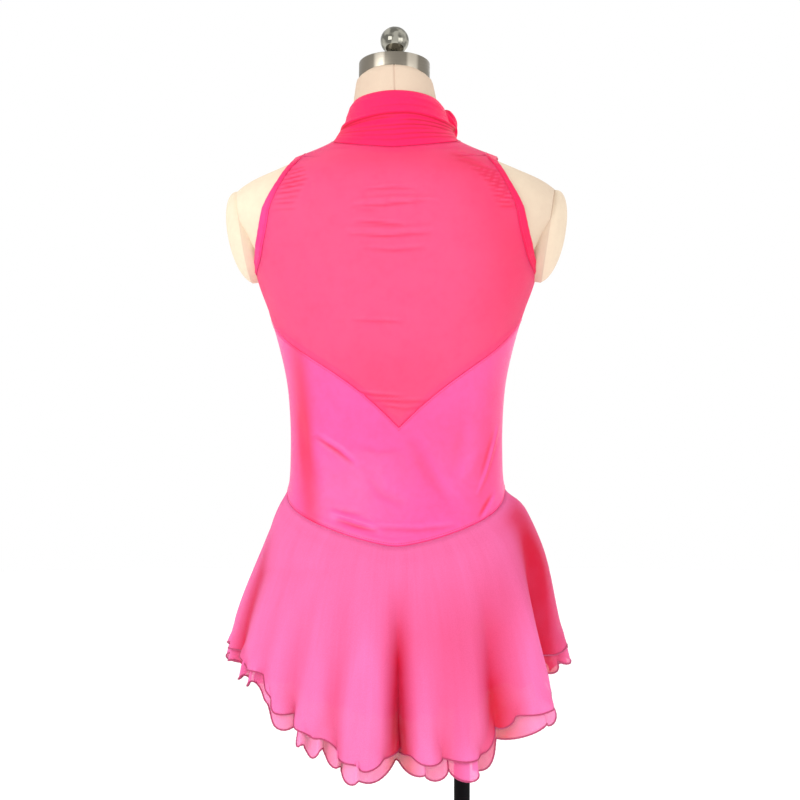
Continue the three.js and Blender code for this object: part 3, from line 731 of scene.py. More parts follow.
@dataclass(frozen=True)
class MetalFinish:
    """The finish of a metal or painted part.

    streaks is how strongly it is brushed, bands the distance between two painted bright reflection bands in
    metres, and patches the scale of the dark and bright patches of a room's reflection, painted on a polished
    ball.
    """

    name: str
    colour: Colour
    roughness: float
    metallic: float = 1.0
    streaks: float = 0.0
    reflection_bands: float = 0.0
    shine: float = 0.5
    reflection_patches: float = 0.0

    def make(self) -> bpy.types.Material:
        """Returns the material."""
        shader = Shader(self.name)
        where = shader.node("ShaderNodeTexCoord", output="Object")
        long = shader.node("ShaderNodeMapping", values={"Vector": where, "Scale": (14, 14, 1400)})
        streak = shader.noise(1.0, 4, long)
        smear = shader.noise(38)
        colour = shader.mixed(streak * self.streaks + smear * 0.15, self.colour, scaled(self.colour, 0.72))
        # painted reflection: bright bands round the brushed cap
        if self.reflection_bands:
            sideways = shader.node("ShaderNodeSeparateXYZ", values={0: where})
            band = ((sideways * (TAU / self.reflection_bands) - 1.65).math("SINE") * 2.4 - 0.9).clamped()
            colour = shader.mixed(band * 0.85, colour, scaled(self.colour, 2, 0.06))
        # painted reflection: the room's dark and bright patches on the ball
        if self.reflection_patches:
            reflection_patch = ((shader.noise(self.reflection_patches, 1) - 0.5) * 7 + 0.5).clamped()
            colour = shader.mixed(reflection_patch, scaled(self.colour, 0.55), scaled(self.colour, 1.45))
        rough = (streak - 0.5) * (0.3 * self.streaks) + (smear - 0.5) * 0.08 + self.roughness
        normal = shader.bump(streak * self.streaks + shader.noise(420) * 0.2, 0.00006)
        return shader.finish(
            {
                "Base Color": colour,
                "Roughness": rough,
                "Metallic": self.metallic,
                "Normal": normal,
                "Specular IOR Level": self.shine,
            }
        )


# name, colour, deep colour of the painted shade, weave, pitch, relief, roughness, sheen, shine, cover
SHEER = ClothFinish(
    "sheer_stretch_mesh", (1.0, 0.088, 0.27), (0.93, 0.01, 0.1),
    Weave.NET, 0.0011, 0.0001, 0.55, 0.12, 0.25, 0.57,
)
RUCHED = ClothFinish(
    "ruched_mesh", (0.93, 0.008, 0.11), (0.48, 0.001, 0.02), Weave.NET, 0.001, 0.00012, 0.55, 0.15, 0.25
)
BINDING = ClothFinish(
    "folded_binding", (0.97, 0.05, 0.25), (0.75, 0.004, 0.06), Weave.KNIT, 0.0008, 0.0001, 0.5, 0.06, 0.2
)
SPANDEX = ClothFinish(
    "satin_spandex", (0.98, 0.074, 0.335), (0.9, 0.01, 0.085), Weave.KNIT, 0.0007, 0.00008, 0.36, 0.25, 0.5
)
CHIFFON = ClothFinish(
    "crepe_chiffon", (1.0, 0.215, 0.54), (0.72, 0.001, 0.035),
    Weave.CREPE, 0.0006, 0.00008, 0.7, 0.25, 0.2, 0.64,
)
HEM_THREAD = ClothFinish(
    "rolled_hem_thread", (0.5, 0.06, 0.16), (0.32, 0.02, 0.07), Weave.CORD, 0.0012, 0.0003, 0.55, 0.1, 0.3
)
SEWING_THREAD = ClothFinish(
    "sewing_thread", (0.86, 0.04, 0.17), (0.6, 0.01, 0.08), Weave.CORD, 0.0006, 0.0001, 0.5, 0.1, 0.4
)
JERSEY = ClothFinish(
    "cream_jersey", (0.81, 0.685, 0.515), (0.55, 0.4, 0.31), Weave.JERSEY, 0.0009, 0.00012, 0.85, 0.1, 0.2
)
STEEL = MetalFinish("brushed_steel", (0.235, 0.21, 0.17), 0.42, streaks=0.6, reflection_bands=0.037)
CHROME = MetalFinish("polished_chrome", (0.27, 0.26, 0.22), 0.06, reflection_patches=120.0)
BLACK = MetalFinish("satin_black_paint", (0.004, 0.0035, 0.004), 0.6, metallic=0.0, shine=0.06)


# ---------------------------------------------------------------- the workshop: pieces and what they say


class Workshop:
    """Makes each finish once, signs each finished piece in and sews the rows of stitches."""

    stitch_pitch = 2.8
    stitch_length = 2.1
    stitch_radius = 0.28
    stitch_sides = 5

    def __init__(self) -> None:
        """Starts with no finish made."""
        self.made: dict[str, bpy.types.Material] = {}

    def sign(
        self,
        obj: bpy.types.Object,
        finish: ClothFinish | MetalFinish,
        slot: str,
        replaces: tuple[str, ...] = (),
    ) -> bpy.types.Object:
        """Gives a piece its finish, its body and the solids that it stands for.

        Args:
            obj: The piece.
            finish: Its finish.
            slot: The record's material slot; not used.
            replaces: The solids that it stands for.

        Returns:
            The piece.
        """
        if finish.name not in self.made:
            self.made[finish.name] = finish.make()
        obj.data.materials.clear()
        obj.data.materials.append(self.made[finish.name])
        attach(obj, "root")
        if replaces:
            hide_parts(*replaces)
        LOG.info("%s: %d faces, %s", obj.name, len(obj.data.polygons), finish.name)
        return obj

    def stitches(
        self, name: str, line: tuple[np.ndarray, np.ndarray], slot: str, closed: bool = False
    ) -> bpy.types.Object:
        """Sews a row of short stitches along a line, each a capsule of four rings.

        Args:
            name: The piece's name.
            line: The row's points on the cloth, and the cloth's outward direction at each.
            slot: The record's material slot.
            closed: True if the row closes on itself.

        Returns:
            The piece.
        """
        path, outward = (looped(part) if closed else part for part in line)
        along = distances(path)
        at, out = (spaced(part, along, self.stitch_pitch) for part in (path, outward))
        ahead, at, out = unit(np.diff(at, axis=0)), at[:-1], unit(out[:-1])
        sides, radius = self.stitch_sides, self.stitch_radius
        shape = np.array(
            [
                (self.stitch_length * place, radius * size * a, radius * (size * b + 0.7 * (size > 0.5)))
                for place, size in ((-0.5, 0.25), (-0.3, 0.95), (0.3, 0.95), (0.5, 0.25))
                for a, b in circle(1, sides)
            ]
        )
        frames = np.stack([ahead, np.cross(ahead, out), out], axis=1)
        points = (at[:, None] + shape @ frames).reshape(-1, 3) * MM
        faces = [
            (k + i, k + (i + 1) % sides, k + sides + (i + 1) % sides, k + sides + i)
            for k in (0, sides, 2 * sides)
            for i in range(sides)
        ]
        faces += [tuple(range(sides))[::-1], tuple(range(3 * sides, 4 * sides))]
        every = [tuple(i + len(shape) * k for i in face) for k in range(len(at)) for face in faces]
        mesh = bpy.data.meshes.new(name)
        mesh.from_pydata(points.tolist(), [], every)
        mesh.uv_layers.new(name="cloth")
        obj = new_object(name, mesh)
        with edited(obj) as bm:
            face_outwards(bm)
        return self.sign(obj, SEWING_THREAD, slot)


SHOP = Workshop()


# ---------------------------------------------------------------- the bodice


@dataclass(frozen=True)
class Shade:
    """A soft stretch where the cloth turns away from the light, painted in shade.

    path is its middle line as (x, height) points, width the distance over which it fades, and amount how deep
    the painted shade gets, from 0 to 1.
    """

    path: Path
    width: float
    amount: float

    def painted_shade(self, points: np.ndarray) -> np.ndarray:
        """Returns how deep the painted shade is at each point."""
        return Crease(self.path, self.amount, self.width, 0.0).height(points) * -1


@dataclass(frozen=True)
class Panel:
    """One panel of the bodice, from its lower seam up to its upper one.

    levels are the heights of its rows at the side seam, straight the heights between which the rows are level
    all the way across, and middle is the turn of its middle. seam_gap is left between two panels. The cloth
    dips at its seams by tuck_depth, over tuck_reach, and rises by welt_height over the edges that are turned
    in above the lower one.
    """

    name: str
    lower: Callable[[np.ndarray], np.ndarray]
    upper: Callable[[np.ndarray], np.ndarray]
    levels: np.ndarray
    middle: float
    replaces: str
    armhole_width: float = 0.0
    straight: tuple[float, ...] = ()
    columns: int = 150
    distance: float = 1.4
    thickness: float = 0.6
    creases: tuple[Crease, ...] = ()
    shade: tuple[Shade, ...] = ()
    seam_gap: float = 0.16
    tuck_depth: float = 0.6
    tuck_reach: float = 1.6
    welt_height: float = 0.35

    def grid(self) -> tuple[np.ndarray, np.ndarray, np.ndarray]:
        """Returns the turns, the heights and the creases' heights on the panel's grid."""
        at_sides = (self.levels[0], *self.straight, self.levels[-1])
        share = np.linspace(-1, 1, self.columns + 1)
        seam_turn = self.middle + share * SIDE
        low = self.lower(seam_turn) + self.seam_gap / 2
        high = self.upper(seam_turn) - self.seam_gap / 2
        knots = np.stack([low, *(np.full_like(low, z) for z in self.straight), high])
        z = np.stack([np.interp(self.levels, at_sides, column) for column in knots.T], axis=1)
        cut = ARMHOLE.cut(self.levels, self.armhole_width)[:, None]
        gap = self.seam_gap / 2 / BODY.radius(np.full_like(z, SIDE), z)
        drawn = smooth(0.2, 1, np.abs(share))[None, :] * np.sign(share)
        turn = self.middle + share[None, :] * SIDE - drawn * (cut + gap)
        return turn, z, creased(BODY.surface(turn, z), self.creases)

    def build(self, finish: ClothFinish, slot: str) -> bpy.types.Object:
        """Returns the panel as a sheet of cloth."""
        turn, z, crease = self.grid()
        seam_turn = self.middle + np.linspace(-1, 1, self.columns + 1)[None, :] * SIDE
        from_lower = z - self.lower(seam_turn)
        from_upper = self.upper(seam_turn) - z
        tuck = sum(self.tuck_depth * (1 - smooth(0, self.tuck_reach, d)) for d in (from_lower, from_upper))
        welt = self.welt_height * (smooth(0, 2.2, from_lower) - smooth(6.5, 8, from_lower))
        points = BODY.raised(turn, z, self.distance + self.thickness + crease - tuck + welt)
        # painted shade: a little in the seams' tucks, more in the creases and in the panel's shaded stretches
        fold = 0.12 + 0.35 * tuck + sum(part.painted_shade(points) for part in (*self.creases, *self.shade))
        obj = grid_object(self.name, points, fold=fold)
        applied(obj, "SOLIDIFY", thickness=self.thickness * MM, offset=-1)
        return SHOP.sign(obj, finish, slot, (self.replaces,))


ARMHOLE_LEVELS = np.append(
    ARMHOLE.z - ARMHOLE.half * np.cos(np.pi * np.linspace(0, 0.93, 80)), ARMHOLE.z + ARMHOLE.half
)
LEVEL_BAND = (float(ARMHOLE_LEVELS[0]), ARMHOLE.z - ARMHOLE.half * math.cos(math.pi * 0.75))
SHOULDER_LEVELS = np.linspace(1192, 1214, 9)[1:]


def side_rows(low: float, count: int) -> np.ndarray:
    """Returns the heights of rows at the side: a count of them up to the armhole, then on to the shoulder."""
    below = np.linspace(low, ARMHOLE_LEVELS[0], count, endpoint=False)
    return np.concatenate([below, ARMHOLE_LEVELS, SHOULDER_LEVELS])


YOKE_CREASES = (
    Crease(((-44, 1129), (-8, 1131), (43, 1136)), 1.0, 1.7),
    Crease(((-38, 1125), (-14, 1125)), 0.7, 1.3),
    Crease(((-38, 1113), (-12, 1111), (12, 1109)), 1.1, 1.7),
    Crease(((-48, 1105), (0, 1103), (44, 1106)), -0.9, 2.2),
    Crease(((-46, 1099), (-4, 1097), (43, 1100)), 1.1, 1.6),
    Crease(((-40, 1135), (0, 1138), (51, 1137)), -0.8, 2.0),
    Crease(((-29, 1148), (2, 1150), (24, 1149)), 0.8, 1.6),
    Crease(((-30, 1083), (4, 1081), (36, 1084)), 0.7, 2.2),
    Crease(((-42, 1006), (-14, 1005), (15, 1004)), 0.7, 1.8),
    Crease(((-119, 1171), (-96, 1177)), 0.9, 1.3),
    Crease(((-121, 1166), (-95, 1173)), 1.1, 1.3),
    Crease(((-122, 1161), (-95, 1167)), 1.3, 1.4),
    Crease(((-123, 1156), (-93, 1162)), 1.4, 1.4),
    Crease(((-125, 1151), (-96, 1156)), 1.3, 1.3),
    Crease(((-127, 1146), (-99, 1149)), 1.2, 1.4),
    Crease(((-128, 1140), (-102, 1142)), 0.9, 1.4),
    Crease(((-129, 1135), (-105, 1136)), 0.9, 1.3),
    Crease(((-130, 1129), (-104, 1129)), 0.8, 1.3),
    Crease(((84, 1178), (118, 1169)), 1.1, 1.4),
    Crease(((86, 1173), (121, 1164)), 1.3, 1.4),
    Crease(((94, 1167), (124, 1159)), 1.4, 1.4),
    Crease(((99, 1161), (127, 1154)), 1.4, 1.4),
    Crease(((104, 1155), (130, 1149)), 1.3, 1.3),
    Crease(((107, 1149), (132, 1144)), 1.2, 1.3),
    Crease(((110, 1143), (134, 1139)), 1.1, 1.4),
    Crease(((112, 1137), (136, 1133)), 1.1, 1.3),
    Crease(((116, 1131), (138, 1129)), 0.9, 1.3),
    Crease(((70, 1184), (92, 1178), (108, 1173)), 0.9, 1.7),
    Crease(((62, 1191), (80, 1186), (100, 1178)), 0.7, 2.0),
    Crease(((-42, 929), (-18, 925), (16, 923)), 0.9, 1.8),
    Crease(((-24, 920), (8, 918), (47, 918)), 0.9, 1.8),
    Crease(((-12, 914), (14, 910), (40, 913)), 0.8, 1.6),
)

WAIST_CREASES = (
    Crease(((-85, 879), (-60, 863), (-44, 850)), 1.5, 2.6, 0.7),
    Crease(((-68, 797), (-50, 792), (-34, 790)), -0.9, 3.2),
    Crease(((-60, 790), (-38, 783), (-17, 778)), 1.3, 2.6, 0.7),
    Crease(((-17, 781), (30, 779), (70, 783)), 0.7, 2.6),
    Crease(((114, 892), (106, 860), (100, 838), (92, 818)), -1.3, 1.8, 0.5),
    Crease(((110, 886), (102, 856), (96, 836)), 0.9, 2.2, 0.3),
    Crease(((108, 816), (102, 806), (94, 792)), 1.4, 2.0, 0.7),
    Crease(((18, 880), (32, 852), (48, 826), (62, 806)), 1.6, 7.0, 0.6),
    Crease(((76, 900), (72, 872), (66, 846)), 1.2, 7.0, 0.5),
    Crease(((92, 868), (82, 846), (70, 834)), -0.8, 5.0, 0.4),
    Crease(((-104, 905), (-96, 860), (-84, 822)), 1.0, 7.0, 0.6),
    Crease(((-30, 842), (-12, 818), (16, 806)), 0.9, 6.0, 0.4),
    Crease(((-40, 868), (-14, 862), (12, 864)), 0.6, 5.0, 0.4),
)

# painted shade on the yoke: at its right, along its top, low in its middle and near its right shoulder
YOKE_SHADES = (
    Shade(((70, 1205), (112, 1150), (138, 1080), (126, 960)), 38, 0.5),
    Shade(((-80, 1187), (0, 1192), (90, 1184)), 22, 0.4),
    Shade(((-60, 962), (0, 935), (60, 962)), 38, 0.2),
    Shade(((60, 1190), (96, 1180), (118, 1166)), 12, 0.3),
)

# painted shade on the lower back: down its left and right sides and over its right half
WAIST_SHADES = (
    Shade(((-110, 1010), (-102, 920), (-99, 860), (-90, 790), (-84, 750)), 11, 0.95),
    Shade(((118, 1000), (108, 880), (98, 810), (92, 770)), 14, 0.35),
    Shade(((-10, 850), (60, 880), (110, 900)), 55, 0.16),
)

FRONT_CREASES = (
    Crease(((-78, 872), (-52, 850), (-36, 842)), 1.3, 2.8, 0.7, Face.FRONT),
    Crease(((82, 866), (60, 845), (30, 838)), 1.2, 3.2, 0.7, Face.FRONT),
    Crease(((-60, 802), (-20, 792), (28, 794)), 1.0, 3.0, 0.6, Face.FRONT),
    Crease(((-40, 952), (0, 946), (36, 954)), 1.2, 6.0, 0.5, Face.FRONT),
    Crease(((-24, 1010), (0, 1002), (26, 1011)), 1.0, 6.0, 0.5, Face.FRONT),
    Crease(((96, 1060), (82, 1036)), 1.0, 3.0, 0.6, Face.FRONT),
    Crease(((-98, 1064), (-84, 1040)), 1.1, 3.0, 0.6, Face.FRONT),
    Crease(((-50, 1176), (-30, 1150), (-16, 1120)), 1.0, 4.0, 0.6, Face.FRONT),
    Crease(((54, 1174), (38, 1150), (26, 1128)), 1.0, 4.0, 0.6, Face.FRONT),
)


class Bodice:
    """The sheer back, the lower back, the front and the sewing between them."""

    row_over = 2.25
    ridge_over = 1.6

    def __init__(self) -> None:
        """Sets out the three panels."""
        self.sheer = Panel(
            "yoke_sheer_back",
            V_SEAM.height,
            NECK.height,
            side_rows(V_SEAM.side, 76),
            0.0,
            "back_sheer",
            ARMHOLE.back_width,
            LEVEL_BAND,
            thickness=0.4,
            creases=YOKE_CREASES,
            shade=YOKE_SHADES,
        )
        self.lower = Panel(
            "lower_back",
            WAIST.height,
            V_SEAM.height,
            np.linspace(WAIST.side, V_SEAM.side, 97),
            0.0,
            "back_lower",
            creases=WAIST_CREASES,
            columns=200,
            shade=WAIST_SHADES,
        )
        self.front = Panel(
            "front_panel",
            WAIST.height,
            NECK.height,
            side_rows(WAIST.side, 90),
            math.pi,
            "front",
            ARMHOLE.front_width,
            LEVEL_BAND,
            creases=FRONT_CREASES,
        )

    def allowance(
        self, name: str, seam: SeamLine, turns: np.ndarray, below: float, above: float
    ) -> bpy.types.Object:
        """Makes the turned-in edges behind a seam.

        Args:
            name: The piece's name.
            seam: The seam.
            turns: The turns that it runs through.
            below: How far the edges reach below the seam.
            above: How far they reach above it.

        Returns:
            The piece.
        """
        up = np.concatenate([np.linspace(-below, above, 7), np.linspace(above, -below, 7)])
        out = np.repeat([1.1, 0.4], 7)
        z = seam.height(turns)[:, None] + up[None, :]
        grid = BODY.raised(np.broadcast_to(turns[:, None], z.shape), z, np.broadcast_to(out, z.shape))
        # the turned-in edges lie under the seam and are painted somewhat in shade
        obj = grid_object(name, grid, round_columns=True, fold=np.full(z.shape, 0.3))
        close_ends(obj)
        return SHOP.sign(obj, SPANDEX, "spandex")

    def side_seam(self, side: int) -> bpy.types.Object:
        """Returns the ridge of a side seam, from the waist up to the armhole, for side 1 or -1."""
        z = np.linspace(WAIST.side + 1, ARMHOLE_LEVELS[0] - 1, 60)
        line = BODY.line(np.full_like(z, side * SIDE), z, self.ridge_over)
        grid = swept(*line, circle(0.55, 6) * [1.6, 1.0], closed=False)
        ridge = grid_object(f"side_seam_{WORDS[side]}", grid, round_columns=True)
        return SHOP.sign(ridge, SPANDEX, "spandex")

    def build(self) -> None:
        """Makes the panels and their sewing."""
        across = np.linspace(-SIDE + 0.02, SIDE - 0.02, 241)
        inside_v = self.allowance("v_seam_allowance", V_SEAM, across, 2.0, 7.0)
        inside_waist = self.allowance("waist_seam_allowance", WAIST, np.linspace(0, TAU, 361), 6.0, 5.0)
        inside_neck = self.allowance("neck_seam_allowance", NECK, np.linspace(0, TAU, 241), 5.0, 4.0)
        sheer = self.sheer.build(SHEER, "sheer_mesh")
        lower = self.lower.build(SPANDEX, "spandex")
        front = self.front.build(SPANDEX, "spandex")
        half = np.linspace(-SIDE + 0.01, SIDE - 0.01, 400)
        whole = np.linspace(0, TAU, 700, endpoint=False)
        v_line = BODY.line(half, V_SEAM.height(half) - 2.6, self.row_over)
        v_row = SHOP.stitches("v_seam_stitches", v_line, "spandex")
        waist_line = BODY.line(whole, WAIST.height(whole) + 2.4, self.row_over)
        waist_row = SHOP.stitches("waist_seam_stitches", waist_line, "spandex", closed=True)
        seams = [self.side_seam(side) for side in (1, -1)]


@dataclass(frozen=True)
class ArmholeBinding:
    """The folded edge band round an armhole, with its row of stitches.

    side is 1 or -1. narrowed and flattened are the shares that the band loses towards the shoulder, points of
    its outline beyond outer_over are its outer side, which puckers, and row_at and row_over are where the
    stitches lie on the outline.
    """

    side: int
    count: int = 180
    narrowed: float = 0.42
    flattened: float = 0.45
    outer_over: float = 2.5
    row_at: float = 7.6
    row_over: float = 3.2
    # the folded band's outline, as (distance from the armhole's line, distance off the body)
    outline: Path = (
        (-1.6, -0.9), (-1.5, 1.5), (-0.8, 2.9), (0.4, 3.4), (1.8, 3.3), (4.5, 3.15), (7.9, 3.1),
        (9.2, 2.7), (9.6, 2.3), (9.2, 1.9), (4.5, 1.85), (0.6, 1.2), (0.0, 0.0), (-0.7, -1.2),
    )

    def point(self, angle: np.ndarray, grown: np.ndarray | float, distance: np.ndarray | float) -> np.ndarray:
        """Returns points of the band, at angles round it and distances off its line and the body."""
        on_line = ARMHOLE.z + ARMHOLE.half * np.sin(angle)
        grown = grown * (1 - self.narrowed * smooth(-0.4, 0.7, np.sin(angle)))
        distance = distance * (1 - self.flattened * smooth(0.75, 1, np.sin(angle)))
        z = on_line + grown * np.sin(angle)
        outwards = grown * np.cos(angle) / BODY.radius(SIDE, ARMHOLE.z)
        at_back = ARMHOLE.cut(on_line, ARMHOLE.back_width)
        cut = np.where(np.cos(angle) > 0, at_back, -ARMHOLE.cut(on_line, ARMHOLE.front_width))
        return BODY.raised(self.side * (SIDE - cut - outwards), z, distance)

    def build(self) -> None:
        """Makes the band and its stitches."""
        section = np.array(self.outline)
        angle, corner = np.meshgrid(ring(self.count), np.arange(len(section)), indexing="ij")
        grown, over = section[corner, 0], section[corner, 1]
        pucker = 0.12 * np.sin(angle * 47) + 0.1 * np.sin(angle * 31 + 1)
        grid = self.point(angle, grown, over + np.where(over > self.outer_over, pucker, 0))
        word = WORDS[self.side]
        # painted shade: deep all round on the right band, deeper towards the top on the left one
        fold = np.full(angle.shape, 0.9) if self.side > 0 else 0.1 + 0.55 * smooth(0, 0.9, np.sin(angle))
        band = grid_object(f"armhole_band_{word}", grid, round_columns=True, round_rows=True, fold=fold)
        SHOP.sign(band, BINDING, "binding", (f"armhole_binding_{word}",))
        fine = np.linspace(0, TAU, 500, endpoint=False)
        on = self.point(fine, self.row_at, self.row_over)
        line = (on, on - self.point(fine, self.row_at, 0.0))
        row = SHOP.stitches(f"armhole_stitches_{word}", line, "binding", closed=True)


# ---------------------------------------------------------------- the collar


@dataclass(frozen=True)
class CollarFold:
    """One fold of the collar, that runs from the left base over the back and down to the knot.

    low is its height at the sides and rise what it adds at the centre back and front, as shares of the
    collar's height, depth is how far it stands over what is under it, width the share of the height over
    which it fades, and start and end are the degrees that it runs between, or all round where both are 0.
    """

    low: float
    rise: float
    depth: float
    width: float
    start: float = 0
    end: float = 0


@dataclass(frozen=True)
class Collar:
    """The high stand collar of gathered mesh and the knot that draws its folds together."""

    top_side: float = 1254
    top_rise: float = 10.2
    under_seam: float = 0.7
    over_neck: float = 0.9
    thickness: float = 0.8
    columns: int = 360
    left_end: float = 265
    arch: float = 6
    knot_turn: float = 1.86
    knot_up: float = 0.44
    knot_off: float = 7.0
    knot_half: tuple[float, float, float] = (10.5, 18, 19.5)
    knot_lean: float = 2.2
    drawn_to: float = 0.24
    fold_edge: float = 0.009
    fold_lift: float = 1.35
    # how far the cloth stands off the neck, at shares of the collar's height
    stand_off: Path = ((0, 1.15), (0.07, 2.7), (0.3, 4.4), (0.6, 5.6), (0.85, 4.4), (0.97, 1.6), (1, 0.9))
    folds: tuple[CollarFold, ...] = (
        CollarFold(0.0, 0.11, 1.0, 0.06),
        CollarFold(0.01, 0.18, 1.3, 0.07),
        CollarFold(0.02, 0.26, 1.2, 0.07, -90, 60),
        CollarFold(0.02, 0.33, 1.7, 0.09),
        CollarFold(0.03, 0.41, 1.9, 0.09, -5, 112),
        CollarFold(0.06, 0.44, 1.5, 0.09, -84, 12),
        CollarFold(0.02, 0.54, 3.0, 0.3, -94, 112),
        CollarFold(0.3, 0.42, 0.6, 0.1, -40, 60),
        CollarFold(0.45, 0.42, 0.5, 0.08, 0, 100),
        CollarFold(0.12, 0.3, 1.3, 0.08, 108, 250),
        CollarFold(0.16, 0.5, 2.4, 0.25, 108, 262),
        CollarFold(0.3, 0.5, 0.7, 0.1, 130, 250),
    )

    def top(self, turn: np.ndarray) -> np.ndarray:
        """Returns the height of the top edge at turns."""
        return self.top_side + self.top_rise * np.cos(turn)

    def degrees(self, turn: np.ndarray) -> np.ndarray:
        """Returns turns in degrees that run on from below 0 at the left end over the back to the front."""
        degrees = np.degrees(turn) % 360
        return np.where(degrees > self.left_end, degrees - 360, degrees)

    def hump(self, turn: np.ndarray) -> np.ndarray:
        """Returns how high the folds arch at turns: 0 at the left side and the knot, 1 between them."""
        degrees = self.degrees(turn)
        knot = math.degrees(self.knot_turn)
        over_back = np.cos(np.clip((degrees - self.arch) / (knot - self.arch), -1.0, 1.0) * SIDE)
        over_front = np.sin(np.pi * np.clip((degrees - knot) / (self.left_end - knot), 0, 1))
        return np.where(degrees < knot, over_back, over_front) ** 0.8

    def heights(self, turn: np.ndarray, share: np.ndarray) -> tuple[np.ndarray, np.ndarray]:
        """Returns how far the folds lift the cloth, and the shade painted under each fold at each point."""
        hump = self.hump(turn)
        lift = np.zeros_like(share)
        deep = np.zeros_like(share)
        near_knot = bell(wrapped(turn - self.knot_turn) / 0.3)
        for fold in self.folds:
            line = fold.low + fold.rise * hump + 0.012 * np.sin(3 * turn + 20 * fold.low)
            line = line + (self.drawn_to - line) * 0.5 * near_knot
            over = share - line
            if fold.start == fold.end:
                fade = 0.75 + 0.25 * np.sin(2 * turn + 9 * fold.low)
            else:
                place = self.degrees(turn)
                sets_in = smooth(fold.start, fold.start + 30, place)
                fade = sets_in * (1 - smooth(fold.end - 25, fold.end, place))
            fade = fade * (1 + 0.5 * near_knot)
            step = 1 / (1 + np.exp(-np.clip(over / self.fold_edge, -40, 40)))
            lift += self.fold_lift * fold.depth * fade * step * np.exp(-np.maximum(over, 0) / fold.width)
            # painted shade just under each fold's edge
            deep += fade * bell((over + 0.012) / 0.014) * min(1.0, fold.depth / 1.7)
        return lift, deep

    def build(self) -> None:
        """Makes the collar, its knot and its sewing."""
        shares = np.concatenate([np.linspace(0, 0.75, 66), np.linspace(0.75, 1, 20)[1:]])
        share, turn = np.meshgrid(shares, ring(self.columns), indexing="ij")
        low = NECK.height(turn) - self.under_seam
        z = low + (self.top(turn) - low) * share
        lift, deep = self.heights(turn, share)
        ends = smooth(0, 0.03, share) * (1 - smooth(0.95, 1, share))
        off = np.interp(share, *np.array(self.stand_off).T)
        points = BODY.raised(turn, z, self.over_neck + off + lift * ends)
        obj = grid_object("collar_ruched", points, round_columns=True, fold=deep * 0.9)
        applied(obj, "SOLIDIFY", thickness=self.thickness * MM, offset=-1)
        SHOP.sign(obj, RUCHED, "ruched_mesh", ("collar",))
        knot = self.knot()
        around = np.linspace(0, TAU, 420, endpoint=False)
        line = BODY.line(around, NECK.height(around) - 2.2, 2.0)
        base = SHOP.stitches("collar_seam_stitches", line, "ruched_mesh", closed=True)

    def knot(self) -> bpy.types.Object:
        """Returns the gathered knot: a pleated loop of cloth that leans with the neck."""
        turn = np.array(self.knot_turn)
        low = NECK.height(turn)
        z = low + (self.top(turn) - low) * self.knot_up
        seat = BODY.raised(turn, z, self.knot_off)
        out = np.array([math.sin(self.knot_turn), -math.cos(self.knot_turn), 0])
        aside = np.array([math.cos(self.knot_turn), math.sin(self.knot_turn), 0])
        thick, broad, tall = self.knot_half
        height, angle = np.meshgrid(np.linspace(-0.985, 0.985, 60), ring(90), indexing="ij")
        swirl = angle + 0.9 * height
        pleats = 0.07 * np.cos(6 * swirl + 3 * height) + 0.03 * np.cos(13 * swirl + 1)
        girth = np.sqrt(1 - height**2) ** 0.8 * (1 + pleats)
        points = (
            seat
            + (girth * thick * np.cos(angle) - self.knot_lean * height)[..., None] * out
            + (girth * broad * np.sin(angle))[..., None] * aside
            + height[..., None] * [0, 0, tall]
        )
        # painted shade in the hollows between the pleats
        deep = smooth(0.02, -0.12, pleats)
        obj = grid_object("collar_gathered_knot", points, round_columns=True, fold=deep * 0.4)
        close_ends(obj)
        return SHOP.sign(obj, RUCHED, "ruched_mesh", ("collar_knot",))


# ---------------------------------------------------------------- the skirt


@dataclass(frozen=True)
class Flute:
    """A hanging fold. turn and width are in degrees, start is a share of the cloth's length."""

    turn: float
    depth: float
    start: float
    width: float


@dataclass(frozen=True)
class HangingShade:
    """A stretch of the skirt that turns away from the light, painted in shade.

    turn and width are in degrees, amount is how deep the painted shade gets, and it sets in by the share low
    of the cloth's length and is full at high.
    """

    turn: float
    width: float
    amount: float
    low: float
    high: float

    def painted_shade(self, turn: np.ndarray, share: np.ndarray) -> np.ndarray:
        """Returns how deep the painted shade is at turns and shares of the length."""
        away = wrapped(turn - math.radians(self.turn)) / math.radians(self.width)
        return self.amount * bell(away) * smooth(self.low, self.high, share)


